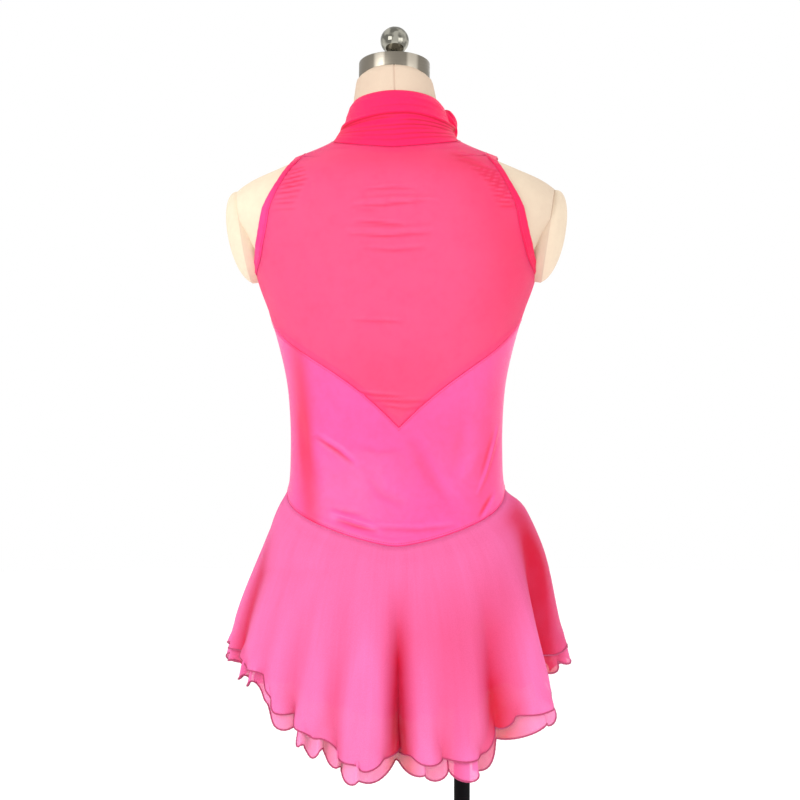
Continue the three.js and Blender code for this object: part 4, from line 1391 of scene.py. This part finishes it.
@dataclass(frozen=True)
class SkirtShape:
    """How the skirt's cloth hangs from the waist seam.

    The spread_ values give how far it stands out, the drop_ values how far it falls, the wave_ values the
    hem's slow waves and the curl_ values the round lobes of its stretched edge. hem holds the length of the
    outer layer's cloth as (degrees, length).
    """

    under_extra: float = 15
    hip_margin: float = 4.6
    spread_steep: float = 26.5
    spread_over: float = 68
    spread_rate: float = 0.22
    drop_start: float = 0.87
    drop_gain: float = 0.00031
    sway: float = 7
    valley_rise: float = 0.35
    layer_spread: float = 3.4
    waves: int = 30
    wave_from: float = 0.84
    wave_reach: float = 3.0
    wave_lift: float = 1.6
    curls: int = 41
    curl_from: float = 0.9
    curl_reach: float = 6.0
    curl_drop: float = 5.2
    curl_swing: float = 1.05
    outer_curl: float = 0.5
    under_curl: float = 1.15
    outermost: float = 4.6
    inset: float = 1.4
    hem: Path = (
        (-90, 186), (-53, 181), (-43, 211), (-24, 223), (-15, 237), (34, 239), (41, 221), (53, 203),
        (60, 199), (88, 187), (125, 205), (152, 222), (180, 232), (206, 224), (238, 206), (270, 186),
    )
    # painted shade where the skirt's sides turn away from the light
    shades: tuple[HangingShade, ...] = (
        HangingShade(77, 12.6, 0.72, 0.0, 0.1),
        HangingShade(-74, 7.45, 0.65, 0.1, 0.5),
    )
    flutes: tuple[Flute, ...] = (
        Flute(4, 48, 0.04, 5.6),
        Flute(18, 12, 0.42, 5.0),
        Flute(39, 19, 0.2, 5.5),
        Flute(55, -22, 0.2, 7),
        Flute(71, 46, -0.05, 8),
        Flute(112, 26, 0.3, 8.5),
        Flute(137, 31, 0.36, 8),
        Flute(160, 24, 0.4, 7),
        Flute(184, 33, 0.28, 7.5),
        Flute(207, 25, 0.42, 7),
        Flute(231, 30, 0.33, 8),
        Flute(252, 27, 0.36, 7.5),
        Flute(287, 17, 0.02, 10),
        Flute(308, 9, 0.35, 7),
        Flute(322, 18, 0.2, 6.5),
        Flute(340, 13, 0.2, 5.5),
        Flute(351, -8, 0.2, 4.5),
    )

    def length(self, turn: np.ndarray) -> np.ndarray:
        """Returns the length of the outer layer's cloth at turns."""
        degrees = (np.degrees(turn) + 90) % 360 - 90
        table = np.array(self.hem)
        i = np.clip(np.searchsorted(table[:, 0], degrees, side="right"), 1, len(table) - 1)
        low, high = table[i - 1], table[i]
        share = np.clip((degrees - low[..., 0]) / (high[..., 0] - low[..., 0]), 0, 1)
        return low[..., 1] + (high[..., 1] - low[..., 1]) * share * share * (3 - 2 * share)

    def valley(self, turn: np.ndarray, share: np.ndarray) -> np.ndarray:
        """Returns how far the flutes draw the cloth in."""
        total = np.zeros(np.broadcast(turn, share).shape)
        for flute in self.flutes:
            away = wrapped(turn - math.radians(flute.turn)) / math.radians(flute.width)
            total += flute.depth * smooth(flute.start, 1.15, share) * bell(away)
        return total

    def hips(self, turn: np.ndarray, z: np.ndarray) -> np.ndarray:
        """Returns the radius of the hips at turns and heights."""
        below = np.clip((BODY.hip_z - z) / BODY.bowl_depth, 0, 1)
        return BODY.radius(turn, np.maximum(z, BODY.hip_z)) * np.sqrt(1 - below * below)

    def curl(self, turn: np.ndarray, share: np.ndarray, under: bool) -> tuple[np.ndarray, ...]:
        """Returns how the stretched hem curls into round lobes: sideways as a turn, outwards and upwards."""
        seed = 1.7 if under else 0.0
        edge = smooth(self.curl_from, 1.0, share) ** 1.3
        phase = self.curls * turn + 1.9 * np.sin(3 * turn + seed) + 1.2 * np.sin(8 * turn + 2 * seed)
        uneven = 0.72 + 0.28 * np.sin(5 * turn + 3 * seed) * np.sin(13 * turn + seed)
        size = edge * (self.under_curl if under else self.outer_curl) * uneven
        aside = self.curl_swing / self.curls * size * np.sin(phase)
        return aside, self.curl_reach * size * np.sin(phase + 0.3), -self.curl_drop * size * np.cos(phase)

    def surface(self, turn: np.ndarray, down: np.ndarray, under: bool = False) -> np.ndarray:
        """Returns the skirt's points at turns and lengths down its cloth."""
        share = down / self.length(turn)
        aside, out, up = self.curl(turn, share, under)
        seam_z = WAIST.height(turn) - 0.25 - 2 * smooth(0, 0.05, share)
        spread = 1 - np.exp(-np.maximum(down, -5) / self.spread_over)
        flare = self.spread_rate * down + self.spread_steep * spread
        curl = smooth(self.wave_from, 1, share)
        wave = self.waves * turn + 0.9 * np.sin(3 * turn + 1)
        valley = self.valley(turn, share)
        z = seam_z - down * (self.drop_start + self.drop_gain * down) + self.valley_rise * valley
        z = z + self.wave_lift * curl * np.cos(wave) + up
        sway = self.sway * smooth(0, 0.15, share) * (1 - smooth(0.35, 0.9, share)) * np.sin(turn)
        hanging = BODY.radius(turn, WAIST.height(turn) - 2.25) + flare + sway - valley
        clear = self.hips(turn, z) + self.hip_margin * smooth(0, 0.2, share)
        radius = np.maximum(hanging, clear) + self.wave_reach * curl * np.sin(wave) + out
        return BODY.around(turn + aside, z, radius)


@dataclass(frozen=True)
class Skirt:
    """The two chiffon layers, with their rolled hems.

    at_seam is how far the cloth stands off its shape at the waist seam and under_in how much less the under
    layer does, thread is the rolled hem's radius and thread_pitch the distance between two of its points.
    base_dark is how deep the cloth's colour is all over, right_side_shade and flute_painted_shade are how
    deep the painted shade is at the right and in the flutes, and a point that lies relief_full inside the
    cloth around it is painted as deep in shade as can be.
    """

    shape: SkirtShape = SkirtShape()
    columns: int = 720
    thickness: float = 0.4
    at_seam: float = 1.0
    under_in: float = 0.5
    thread: float = 0.85
    thread_pitch: float = 1.6
    base_dark: float = 0.1
    right_side_shade: float = 0.34
    flute_painted_shade: float = 0.55
    relief_full: float = 24

    def layer(self, name: str, replaces: tuple[str, ...], under: bool) -> tuple[bpy.types.Object, np.ndarray]:
        """Makes a layer.

        Args:
            name: The piece's name.
            replaces: The solids that it stands for.
            under: True for the under layer.

        Returns:
            The piece and the points of its hem.
        """
        shape = self.shape
        shares = np.concatenate([np.linspace(0, 0.8, 30, endpoint=False), np.linspace(0.8, 1, 22)])
        further = np.zeros_like(shares)
        if under:
            shares = np.concatenate([shares, np.ones(5)])
            further = np.concatenate([further, np.linspace(0, shape.under_extra, 6)[1:]])
        share, turn = np.meshgrid(shares, ring(self.columns), indexing="ij")
        down = share * shape.length(turn) + further[:, None]
        inset = shape.inset * (1 + (shape.layer_spread - 1) * smooth(0, 0.45, share)) if under else 0.0
        out = shape.outermost - inset
        out = self.at_seam + (out - self.at_seam) * smooth(0.0, 0.1, share)
        out = out - (self.under_in if under else 0.0)
        points = moved_out(lambda t, d: shape.surface(t, d, under), turn, down, out)
        # painted shade: at the right, in the cloth's hollows, in the flutes and where the sides turn away
        painted_right_shade = smooth(-0.5, 0.5, np.sin(turn + 0.1)) * (0.04 + self.right_side_shade * smooth(0.05, 0.5, share))
        fold = self.base_dark + painted_right_shade + self.relief(points) / self.relief_full
        fold += self.flute_painted_shade * smooth(22, 46, shape.valley(turn, share))
        fold += sum(shade.painted_shade(turn, share) for shade in shape.shades)
        obj = grid_object(name, points, round_columns=True, fold=fold)
        applied(obj, "SOLIDIFY", thickness=self.thickness * MM, offset=-1)
        return SHOP.sign(obj, CHIFFON, "chiffon", replaces), points[-1]

    def relief(self, points: np.ndarray) -> np.ndarray:
        """Returns how far each point lies inside the skirt's mean radius around it, in millimetres."""
        radius = np.linalg.norm(points[..., :2], axis=-1)
        reach = self.columns // 24
        around = np.concatenate([radius[:, -reach:], radius, radius[:, :reach]], axis=1)
        total = np.cumsum(np.concatenate([np.zeros((len(radius), 1)), around], axis=1), axis=1)
        return (total[:, 2 * reach + 1 :] - total[:, : -2 * reach - 1]) / (2 * reach + 1) - radius

    def hem(self, name: str, line: np.ndarray) -> bpy.types.Object:
        """Returns the rolled hem along a layer's edge."""
        fine = spaced(looped(line), distances(looped(line)), self.thread_pitch)[:-1]
        swell = 1 + 0.14 * np.sin(np.arange(len(fine)) * 2.1)[:, None, None]
        grid = swept(fine, unit(fine * [1, 1, 0]), circle(self.thread, 7), closed=True)
        grid = fine[:, None] + (grid - fine[:, None]) * swell
        obj = grid_object(name, grid, round_columns=True, round_rows=True)
        return SHOP.sign(obj, HEM_THREAD, "chiffon")

    def build(self) -> None:
        """Makes both layers and their hems."""
        for word, under, area in (("outer", False, 0.23), ("under", True, 0.245)):
            replaces = (f"skirt_{word}_back", f"skirt_{word}_front")
            layer, edge = self.layer(f"skirt_{word}_layer", replaces, under)
            hem = self.hem(f"skirt_{word}_rolled_hem", edge)


@dataclass(frozen=True)
class Briefs:
    """The briefs under the skirt, cut high at the legs, with an elastic round each opening."""

    columns: int = 240
    leg_x: float = 132
    leg_z: float = 590
    across: float = 98
    deep: float = 140
    tall: float = 128
    off: float = 0.9
    thickness: float = 0.6

    def inside_leg(self, points: np.ndarray, side: int) -> np.ndarray:
        """Returns below 0 inside a leg's egg-shaped cut and above 0 outside it."""
        middle = np.array([side * self.leg_x, 0, self.leg_z])
        return np.linalg.norm((points - middle) / [self.across, self.deep, self.tall], axis=-1) - 1

    def build(self) -> None:
        """Makes the briefs and their elastics."""
        turns = ring(self.columns)
        high = WAIST.height(turns) - 3
        rows = [BODY.surface(turns, high + (BODY.hip_z - high) * t) for t in np.linspace(0, 1, 36)]
        rows += [BODY.bowl(turns, angle, 0.0) for angle in np.radians(np.linspace(0, 88, 56))[1:]]
        grid = np.stack(rows)
        grid[..., :2] *= 1 + self.off / np.linalg.norm(grid[..., :2], axis=-1, keepdims=True)
        grid[..., 2] -= self.off * smooth(BODY.hip_z, BODY.hip_z - BODY.bowl_depth, grid[..., 2])
        obj = grid_object("briefs_cloth", grid, round_columns=True)
        with edited(obj) as bm:
            lowest = [v for v in bm.verts if abs(v.co.z / MM - grid[-1, 0, 2]) < 0.05]
            rim = [e for e in bm.edges if e.is_boundary and e.verts[0] in lowest]
            bmesh.ops.contextual_create(bm, geom=rim)
            for side in (1, -1):
                self.cut_leg(bm, side)
            loops = boundary_loops(bm)
        applied(obj, "SOLIDIFY", thickness=self.thickness * MM, offset=1)
        SHOP.sign(obj, SPANDEX, "spandex", ("briefs",))
        legs = [loop / MM for loop in loops if loop[:, 2].max() / MM <= BODY.hip_z + 30]
        elastics = [self.elastic(leg) for leg in sorted(legs, key=lambda leg: -leg[:, 0].mean())]

    def elastic(self, edge: np.ndarray) -> bpy.types.Object:
        """Returns the elastic along a leg opening's edge."""
        fine = spaced(looped(edge), distances(looped(edge)), 3.0)[:-1]
        grid = swept(fine, fine - [0, 0, BODY.hip_z], circle(1, 10) * [2.6, 1.0], closed=True)
        name = f"briefs_elastic_{WORDS[1 if edge[:, 0].mean() > 0 else -1]}"
        return SHOP.sign(grid_object(name, grid, round_columns=True, round_rows=True), BINDING, "spandex")

    def cut_leg(self, bm: bmesh.types.BMesh, side: int) -> None:
        """Cuts a leg opening into the cloth, with its edge on the cut's surface."""
        gap = {v: float(self.inside_leg(np.array(v.co) / MM, side)) for v in bm.verts}
        bmesh.ops.delete(bm, geom=[f for f in bm.faces if all(gap[v] < 0 for v in f.verts)], context="FACES")
        for v in [v for v in bm.verts if gap[v] < 0]:
            friends = [e.other_vert(v) for e in v.link_edges if gap.get(e.other_vert(v), -1) >= 0]
            if not friends:
                continue
            friend = min(friends, key=lambda o: (o.co - v.co).length)
            share = gap[v] / (gap[v] - gap[friend])
            v.co = v.co.lerp(friend.co, min(share, 0.96))


def boundary_loops(bm: bmesh.types.BMesh) -> list[np.ndarray]:
    """Returns the closed loops of a mesh's open edges, as points in metres."""
    left = dict.fromkeys(e for e in bm.edges if e.is_boundary)
    loops = []
    while left:
        edge = next(iter(left))
        del left[edge]
        start, here = edge.verts
        loop = [start, here]
        while here != start:
            ahead = next((e for e in here.link_edges if e in left), None)
            if ahead is None:
                break
            del left[ahead]
            here = ahead.other_vert(here)
            loop.append(here)
        loops.append(np.array([v.co for v in loop[:-1]]))
    return loops


# ---------------------------------------------------------------- the form and its stand


@dataclass(frozen=True)
class Form:
    """The limbless body that the dress is on: its trunk, its shoulder caps and its neck's metal.

    clear is how far the trunk stays under the dress, so that its creases have room. neck_in is how far the
    neck's top is drawn in under the metal cap, above neck_in_z, which lies neck_in_rise higher at the back.
    A sewn seam lies groove deep between two lips and is painted with shade along its groove. neck_dim is how
    much deeper the colour is on the neck, and right_painted_shade how deep the painted shade at the right is.
    """

    seam_turns: tuple[float, ...] = (0.0, -0.77, 0.77, -SIDE, SIDE, math.pi, math.pi - 0.75, math.pi + 0.75)
    seam_top: float = 1160
    clear: float = 2.4
    neck_in: float = 3.4
    neck_in_z: float = 1281.2
    neck_in_rise: float = 4.9
    groove: float = 0.7
    groove_width: float = 0.6
    groove_lip: float = 0.25
    neck_dim: float = 0.62
    right_painted_shade: float = 0.5
    cap_z: float = 1104
    cap_y: float = -4
    cap_height: float = 51.5
    cap_depth: float = 43
    cap_bulge: float = 19.5
    cap_rise: float = 5
    cap_reach: float = 28

    def turns(self) -> np.ndarray:
        """Returns the trunk's turns, closer together beside its seams."""
        beside = [s + d for s in self.seam_turns for d in (-0.014, -0.009, -0.0045, 0, 0.0045, 0.009, 0.014)]
        near = np.array(beside) % TAU
        far = [t for t in ring(180) if np.abs(wrapped(near - t)).min() > 0.012]
        return np.sort(np.concatenate([near, far]))

    def swerve(self, turn: np.ndarray, z: np.ndarray) -> np.ndarray:
        """Returns how far the seams lean aside: the side panels' seams close in towards the waist."""
        aside = np.sin(2 * turn) * np.radians(-9 + 14 * smooth(860, 1150, z))
        centre = np.maximum(np.cos(turn), 0) ** 4 * (1 - 0.45 * smooth(1180, 1240, z))
        return aside + math.radians(4.5) * centre

    def trunk(self) -> None:
        """Makes the trunk with its sewn seams, cut flat at the shoulders."""
        turns = self.turns()
        low, high = np.linspace(BODY.hip_z, 1030, 50, endpoint=False), np.linspace(1030, BODY.neck_top, 110)
        z, turn = np.meshgrid(np.concatenate([low, high]), turns, indexing="ij")
        off = np.abs(wrapped(turn[..., None] - np.array(self.seam_turns))).min(-1) * BODY.radius(turn, z)
        centre = np.abs(np.sin(turn)) < 0.1
        ends = np.where(centre, 1.0, 1 - smooth(self.seam_top, self.seam_top + 20, z))
        turn = turn + self.swerve(turn, z)
        groove = self.groove_lip * bell((off - 1.5) / 0.8) - self.groove * bell(off / self.groove_width)
        neck_edge = self.neck_in * smooth(-3, 1, z - self.neck_in_z - self.neck_in_rise * np.cos(turn))
        under_dress = 1 - smooth(1, 9, z - NECK.height(turn))
        grid = BODY.raised(turn, z, ends * groove - self.clear * under_dress - neck_edge)
        tilt = np.clip((z - NECK.side) / (BODY.neck_top - NECK.side), 0, 1)
        grid[..., 0] += tilt * BODY.neck_shift
        grid[..., 2] += tilt * math.tan(BODY.neck_tilt) * BODY.radius(turn, z) * np.cos(turn)
        # painted shade along the seams' grooves, fainter on the neck; a deeper colour on the neck, and
        # painted shade over the right side
        seams = ends * bell(off / 0.7) * (1 - 0.65 * smooth(1225, 1245, z))
        dim = self.neck_dim * smooth(1235, 1260, z) + self.right_painted_shade * smooth(110, 165, grid[..., 0])
        bowl = np.stack([BODY.bowl(turns, a, -self.clear) for a in np.radians(np.linspace(86, 2, 24))])
        fold = np.concatenate([0 * bowl[..., 0], seams + dim])
        obj = grid_object("form_body", np.concatenate([bowl, grid]), round_columns=True, fold=fold)
        with edited(obj) as bm:
            fill_holes(bm)
            for side in (1, -1):
                self.cut_plate(bm, side)
            face_outwards(bm)
        SHOP.sign(obj, JERSEY, "form_jersey", ("form_torso",))

    def cut_plate(self, bm: bmesh.types.BMesh, side: int) -> None:
        """Cuts the trunk flat where an arm would join it."""
        near = [f for f in bm.faces if all(v.co.x * side > 0.12 and 1.045 < v.co.z < 1.22 for v in f.verts)]
        edges = dict.fromkeys(e for f in near for e in f.edges)
        geom = [*near, *edges, *dict.fromkeys(v for f in near for v in f.verts)]
        place = Vector((side * BODY.plate(BODY.plate_z), 0, BODY.plate_z)) * MM
        normal = Vector((side, 0, -BODY.plate_slope)).normalized()
        bmesh.ops.bisect_plane(bm, geom=geom, plane_co=place, plane_no=normal, clear_outer=True)
        fill_holes(bm)

    def cap(self, side: int) -> None:
        """Makes a rounded shoulder cap, for side 1 or -1."""
        angles = np.concatenate([[-0.5, -0.25, -0.03], np.linspace(0, SIDE * 0.96, 26)])
        angle, around = np.meshgrid(angles, ring(96), indexing="ij")
        lip = 0.6 * bell(angle / 0.05)
        shrink = np.cos(angle) ** 0.92
        z = self.cap_z + (self.cap_height + lip) * shrink * np.sin(around) + self.cap_rise * np.sin(angle)
        y = self.cap_y + (self.cap_depth + lip) * shrink * np.cos(around)
        inward = np.where(angle < 0, self.cap_reach * angle, self.cap_bulge * np.sin(angle))
        x = side * (BODY.plate(z) + 0.3 + inward)
        # darker along the rim where the cap meets the trunk, and painted shade over the whole right cap
        fold = bell(angle / 0.03) * 0.55 + (0.25 if side > 0 else 0.0)
        name = f"shoulder_cap_{WORDS[side]}"
        obj = grid_object(name, np.stack([x, y, z], axis=-1), round_columns=True, fold=fold)
        close_ends(obj)
        SHOP.sign(obj, JERSEY, "form_jersey", (f"form_{name}",))

    def build(self) -> None:
        """Makes the trunk, both caps and the neck's metal."""
        self.trunk()
        for side in (1, -1):
            self.cap(side)
        metal = NeckMetal()
        metal.make_cap()
        metal.make_ball()


def rounded(obj: bpy.types.Object, width: float, segments: int = 3) -> None:
    """Rounds an object's sharp edges.

    Args:
        obj: The object.
        width: The bevel's width in metres.
        segments: Its number of segments.
    """
    applied(obj, "BEVEL", width=width, segments=segments, limit_method="ANGLE", angle_limit=math.radians(40))
    only(obj)
    bpy.ops.object.shade_smooth_by_angle(angle=math.radians(35))


def select_faces(chosen: Callable[[bmesh.types.BMFace], bool]) -> None:
    """Selects faces of the mesh in edit mode by a test, and nothing else."""
    bpy.ops.mesh.select_mode(type="FACE")
    bpy.ops.mesh.select_all(action="DESELECT")
    mesh = bpy.context.edit_object.data
    bm = bmesh.from_edit_mesh(mesh)
    for face in bm.faces:
        face.select_set(chosen(face))
    bmesh.update_edit_mesh(mesh)


def step_top(*steps: tuple[float, float]) -> None:
    """Insets and then lifts the top face in edit mode, once for each (inset, lift) in metres."""
    select_faces(lambda face: face.normal.z > 0.9)
    for inset, lift in steps:
        bpy.ops.mesh.inset(thickness=inset)
        bpy.ops.transform.translate(value=(0, 0, lift))


@contextmanager
def edit_mode() -> Iterator[None]:
    """Keeps the active object in edit mode for the length of the block."""
    bpy.ops.object.mode_set(mode="EDIT")
    yield
    bpy.ops.object.mode_set(mode="OBJECT")


def settled(obj: bpy.types.Object, name: str) -> bpy.types.Object:
    """Names an object and moves its place into its mesh."""
    only(obj)
    bpy.ops.object.transform_apply(location=True, rotation=True, scale=True)
    obj.name = name
    obj.data.name = name
    return obj


def cylinder(radius: float, height: float, place: Vector, sides: int = 96) -> bpy.types.Object:
    """Adds a cylinder that stands on a place, sizes in metres."""
    bpy.ops.object.select_all(action="DESELECT")
    bpy.ops.mesh.primitive_cylinder_add(
        vertices=sides, radius=radius, depth=height, location=place + Vector((0, 0, height / 2))
    )
    return bpy.context.object


@dataclass(frozen=True)
class NeckMetal:
    """The brushed cap on the neck and the ball on it, in metres, tilted with the neck's top.

    skirt is how far the cap reaches down over the neck, wedge the slope of its lower edge, gap the space
    under the cap and under the ball's foot, and sunk how deep the stem goes into the ball.
    """

    radius: float = 0.0403
    height: float = 0.015
    skirt: float = 0.0063
    ball: float = 0.0165
    stem: float = 0.006
    stem_height: float = 0.013
    foot: float = 0.008
    foot_height: float = 0.003
    sunk: float = 0.002
    wedge: float = math.radians(7)
    gap: float = 0.0005

    def placed(self, obj: bpy.types.Object, name: str) -> bpy.types.Object:
        """Tilts a piece that was made at the origin and moves it onto the neck."""
        seat = BODY.around(np.array(0.0), np.array(BODY.neck_top), np.array(0.0)) * MM
        only(obj)
        bpy.ops.transform.rotate(value=BODY.neck_tilt, orient_axis="X", center_override=(0, 0, 0))
        bpy.ops.transform.translate(value=(seat[0] + BODY.neck_shift * MM, seat[1], seat[2] + self.gap))
        return settled(obj, name)

    def make_cap(self) -> None:
        """Makes the cap: a wedge-shaped cylinder with two steps on its top."""
        cap = cylinder(self.radius, self.height + self.skirt, Vector((0, 0, -self.skirt)), 128)
        bpy.ops.object.transform_apply(location=True, rotation=False, scale=False)
        with edit_mode():
            select_faces(lambda face: face.normal.z < -0.9)
            bpy.ops.transform.rotate(value=self.wedge, orient_axis="X", center_override=(0, 0, -self.skirt))
            step_top((0.0035, 0.0006), (0.012, 0.0004))
        rounded(cap, 0.0009)
        SHOP.sign(self.placed(cap, "neck_cap"), STEEL, "neck_cap_steel", ("form_neck_cap",))

    def make_ball(self) -> None:
        """Makes the ball on its stem and foot."""
        bpy.ops.object.select_all(action="DESELECT")
        seat = self.height + self.gap
        centre = (0, 0, seat + self.stem_height + self.ball - self.sunk)
        bpy.ops.mesh.primitive_uv_sphere_add(segments=96, ring_count=48, radius=self.ball, location=centre)
        ball = bpy.context.object
        stem = cylinder(self.stem, self.stem_height, Vector((0, 0, seat)), 64)
        foot = cylinder(self.foot, self.foot_height, Vector((0, 0, seat)), 64)
        for piece in (stem, foot):
            applied(piece, "BEVEL", width=0.0006, segments=3, limit_method="ANGLE")
        bpy.ops.object.select_all(action="DESELECT")
        for piece in (foot, stem, ball):
            piece.select_set(True)
        bpy.context.view_layer.objects.active = ball
        bpy.ops.object.join()
        bpy.ops.object.transform_apply(location=True, rotation=True, scale=True)
        bpy.ops.object.shade_smooth_by_angle(angle=math.radians(35))
        SHOP.sign(self.placed(ball, "neck_ball"), CHROME, "ball_chrome", ("form_neck_ball",))


@dataclass(frozen=True)
class Stand:
    """The round base, the hub and the pole, in metres."""

    pole_x: float = 0.074
    base_radius: float = 0.21
    base_height: float = 0.008
    hub_radius: float = 0.024
    hub_height: float = 0.03
    pole_radius: float = 0.009
    pole_top: float = 0.696
    hub_gap: float = 0.0001
    pole_gap: float = 0.0005

    def part(self, obj: bpy.types.Object, name: str, solid: str, bevel: float, segments: int = 3) -> None:
        """Rounds a part's edges and signs it in for a solid."""
        rounded(obj, bevel, segments)
        SHOP.sign(settled(obj, name), BLACK, "stand_black", (solid,))

    def stepped(self, obj: bpy.types.Object, inset: float, lift: float) -> bpy.types.Object:
        """Returns a cylinder whose top has a step inside its rim."""
        with edit_mode():
            step_top((inset, lift))
        return obj

    def build(self) -> None:
        """Makes the base with its shallow step, the hub with a neck at its top, and the pole."""
        base = cylinder(self.base_radius, self.base_height, Vector((0, 0, 0)), 160)
        self.part(self.stepped(base, 0.012, -0.0012), "base_plate", "stand_base", 0.0018)
        place = Vector((self.pole_x, 0, self.base_height + self.hub_gap))
        hub = cylinder(self.hub_radius, self.hub_height, place)
        self.part(self.stepped(hub, 0.006, 0.0004), "pole_hub", "stand_hub", 0.0022, 4)
        bottom = self.base_height + self.pole_gap
        pole = cylinder(self.pole_radius, self.pole_top - bottom, Vector((self.pole_x, 0, bottom)), 64)
        self.part(pole, "pole", "stand_pole", 0.001)


# ---------------------------------------------------------------- camera, light and floor


@dataclass(frozen=True)
class Studio:
    """The camera, a white surround, soft lights and a pale floor."""

    camera_place: tuple[float, float, float] = (0.127, -2.347, 0.92)
    camera_aim: tuple[float, float, float] = (-0.0523, 0.9986, 0.0)
    lens: float = 93.6
    sensor: float = 36
    surround: float = 1.0
    floor_radius: float = 9.0

    def camera(self) -> None:
        """Sets the scene's camera."""
        camera = bpy.data.objects.new("camera", bpy.data.cameras.new("camera"))
        camera.data.lens = self.lens
        camera.data.sensor_width = self.sensor
        camera.location = self.camera_place
        camera.rotation_euler = Vector(self.camera_aim).to_track_quat("-Z", "Y").to_euler()
        bpy.context.scene.collection.objects.link(camera)
        bpy.context.scene.camera = camera

    def lamp(self, name: str, place: tuple[float, float, float], size: float, watts: float) -> None:
        """Adds a soft square light that shines on the dress.

        Args:
            name: Its name.
            place: Where it is.
            size: Its side, in metres.
            watts: Its power.
        """
        lamp = bpy.data.objects.new(name, bpy.data.lights.new(name, "AREA"))
        lamp.data.size = size
        lamp.data.energy = watts
        lamp.location = place
        lamp.rotation_euler = (Vector((0, 0, 0.95)) - Vector(place)).to_track_quat("-Z", "Y").to_euler()
        bpy.context.scene.collection.objects.link(lamp)

    def build(self) -> None:
        """Makes the lights, the surround and the floor."""
        scene = bpy.context.scene
        scene.view_settings.view_transform = "Standard"
        world = bpy.data.worlds.new("surround")
        world.use_nodes = True
        world.node_tree.nodes["Background"].inputs["Color"].default_value = (1, 1, 1, 1)
        world.node_tree.nodes["Background"].inputs["Strength"].default_value = self.surround
        scene.world = world
        self.lamp("key_light", (-1.7, -2.2, 2.0), 1.4, 33)
        self.lamp("fill_light", (2.2, -1.8, 1.2), 1.8, 15)
        self.lamp("far_light", (0.4, 2.6, 1.8), 2.0, 10)
        bpy.ops.object.select_all(action="DESELECT")
        bpy.ops.mesh.primitive_circle_add(vertices=128, radius=self.floor_radius, fill_type="NGON")
        floor = bpy.context.object
        floor.name = "studio_floor"
        shader = Shader("pale_floor")
        tone = shader.mixed(shader.noise(3) * 0.3, (0.9, 0.9, 0.9), (0.86, 0.86, 0.86))
        glow = {"Emission Color": (1.0, 1.0, 1.0, 1.0), "Emission Strength": 0.22}
        floor.data.materials.append(shader.finish({"Base Color": tone, "Roughness": 0.8, **glow}))


def main() -> None:
    """Builds the studio and every piece, and reports them."""
    logging.basicConfig(level=logging.INFO, format="%(name)s %(message)s")
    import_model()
    studio = Studio()
    studio.camera()
    studio.build()
    Form().build()
    Stand().build()
    Bodice().build()
    for side in (1, -1):
        ArmholeBinding(side).build()
    Collar().build()
    Skirt().build()
    Briefs().build()


if __name__ == "__main__":
    main()
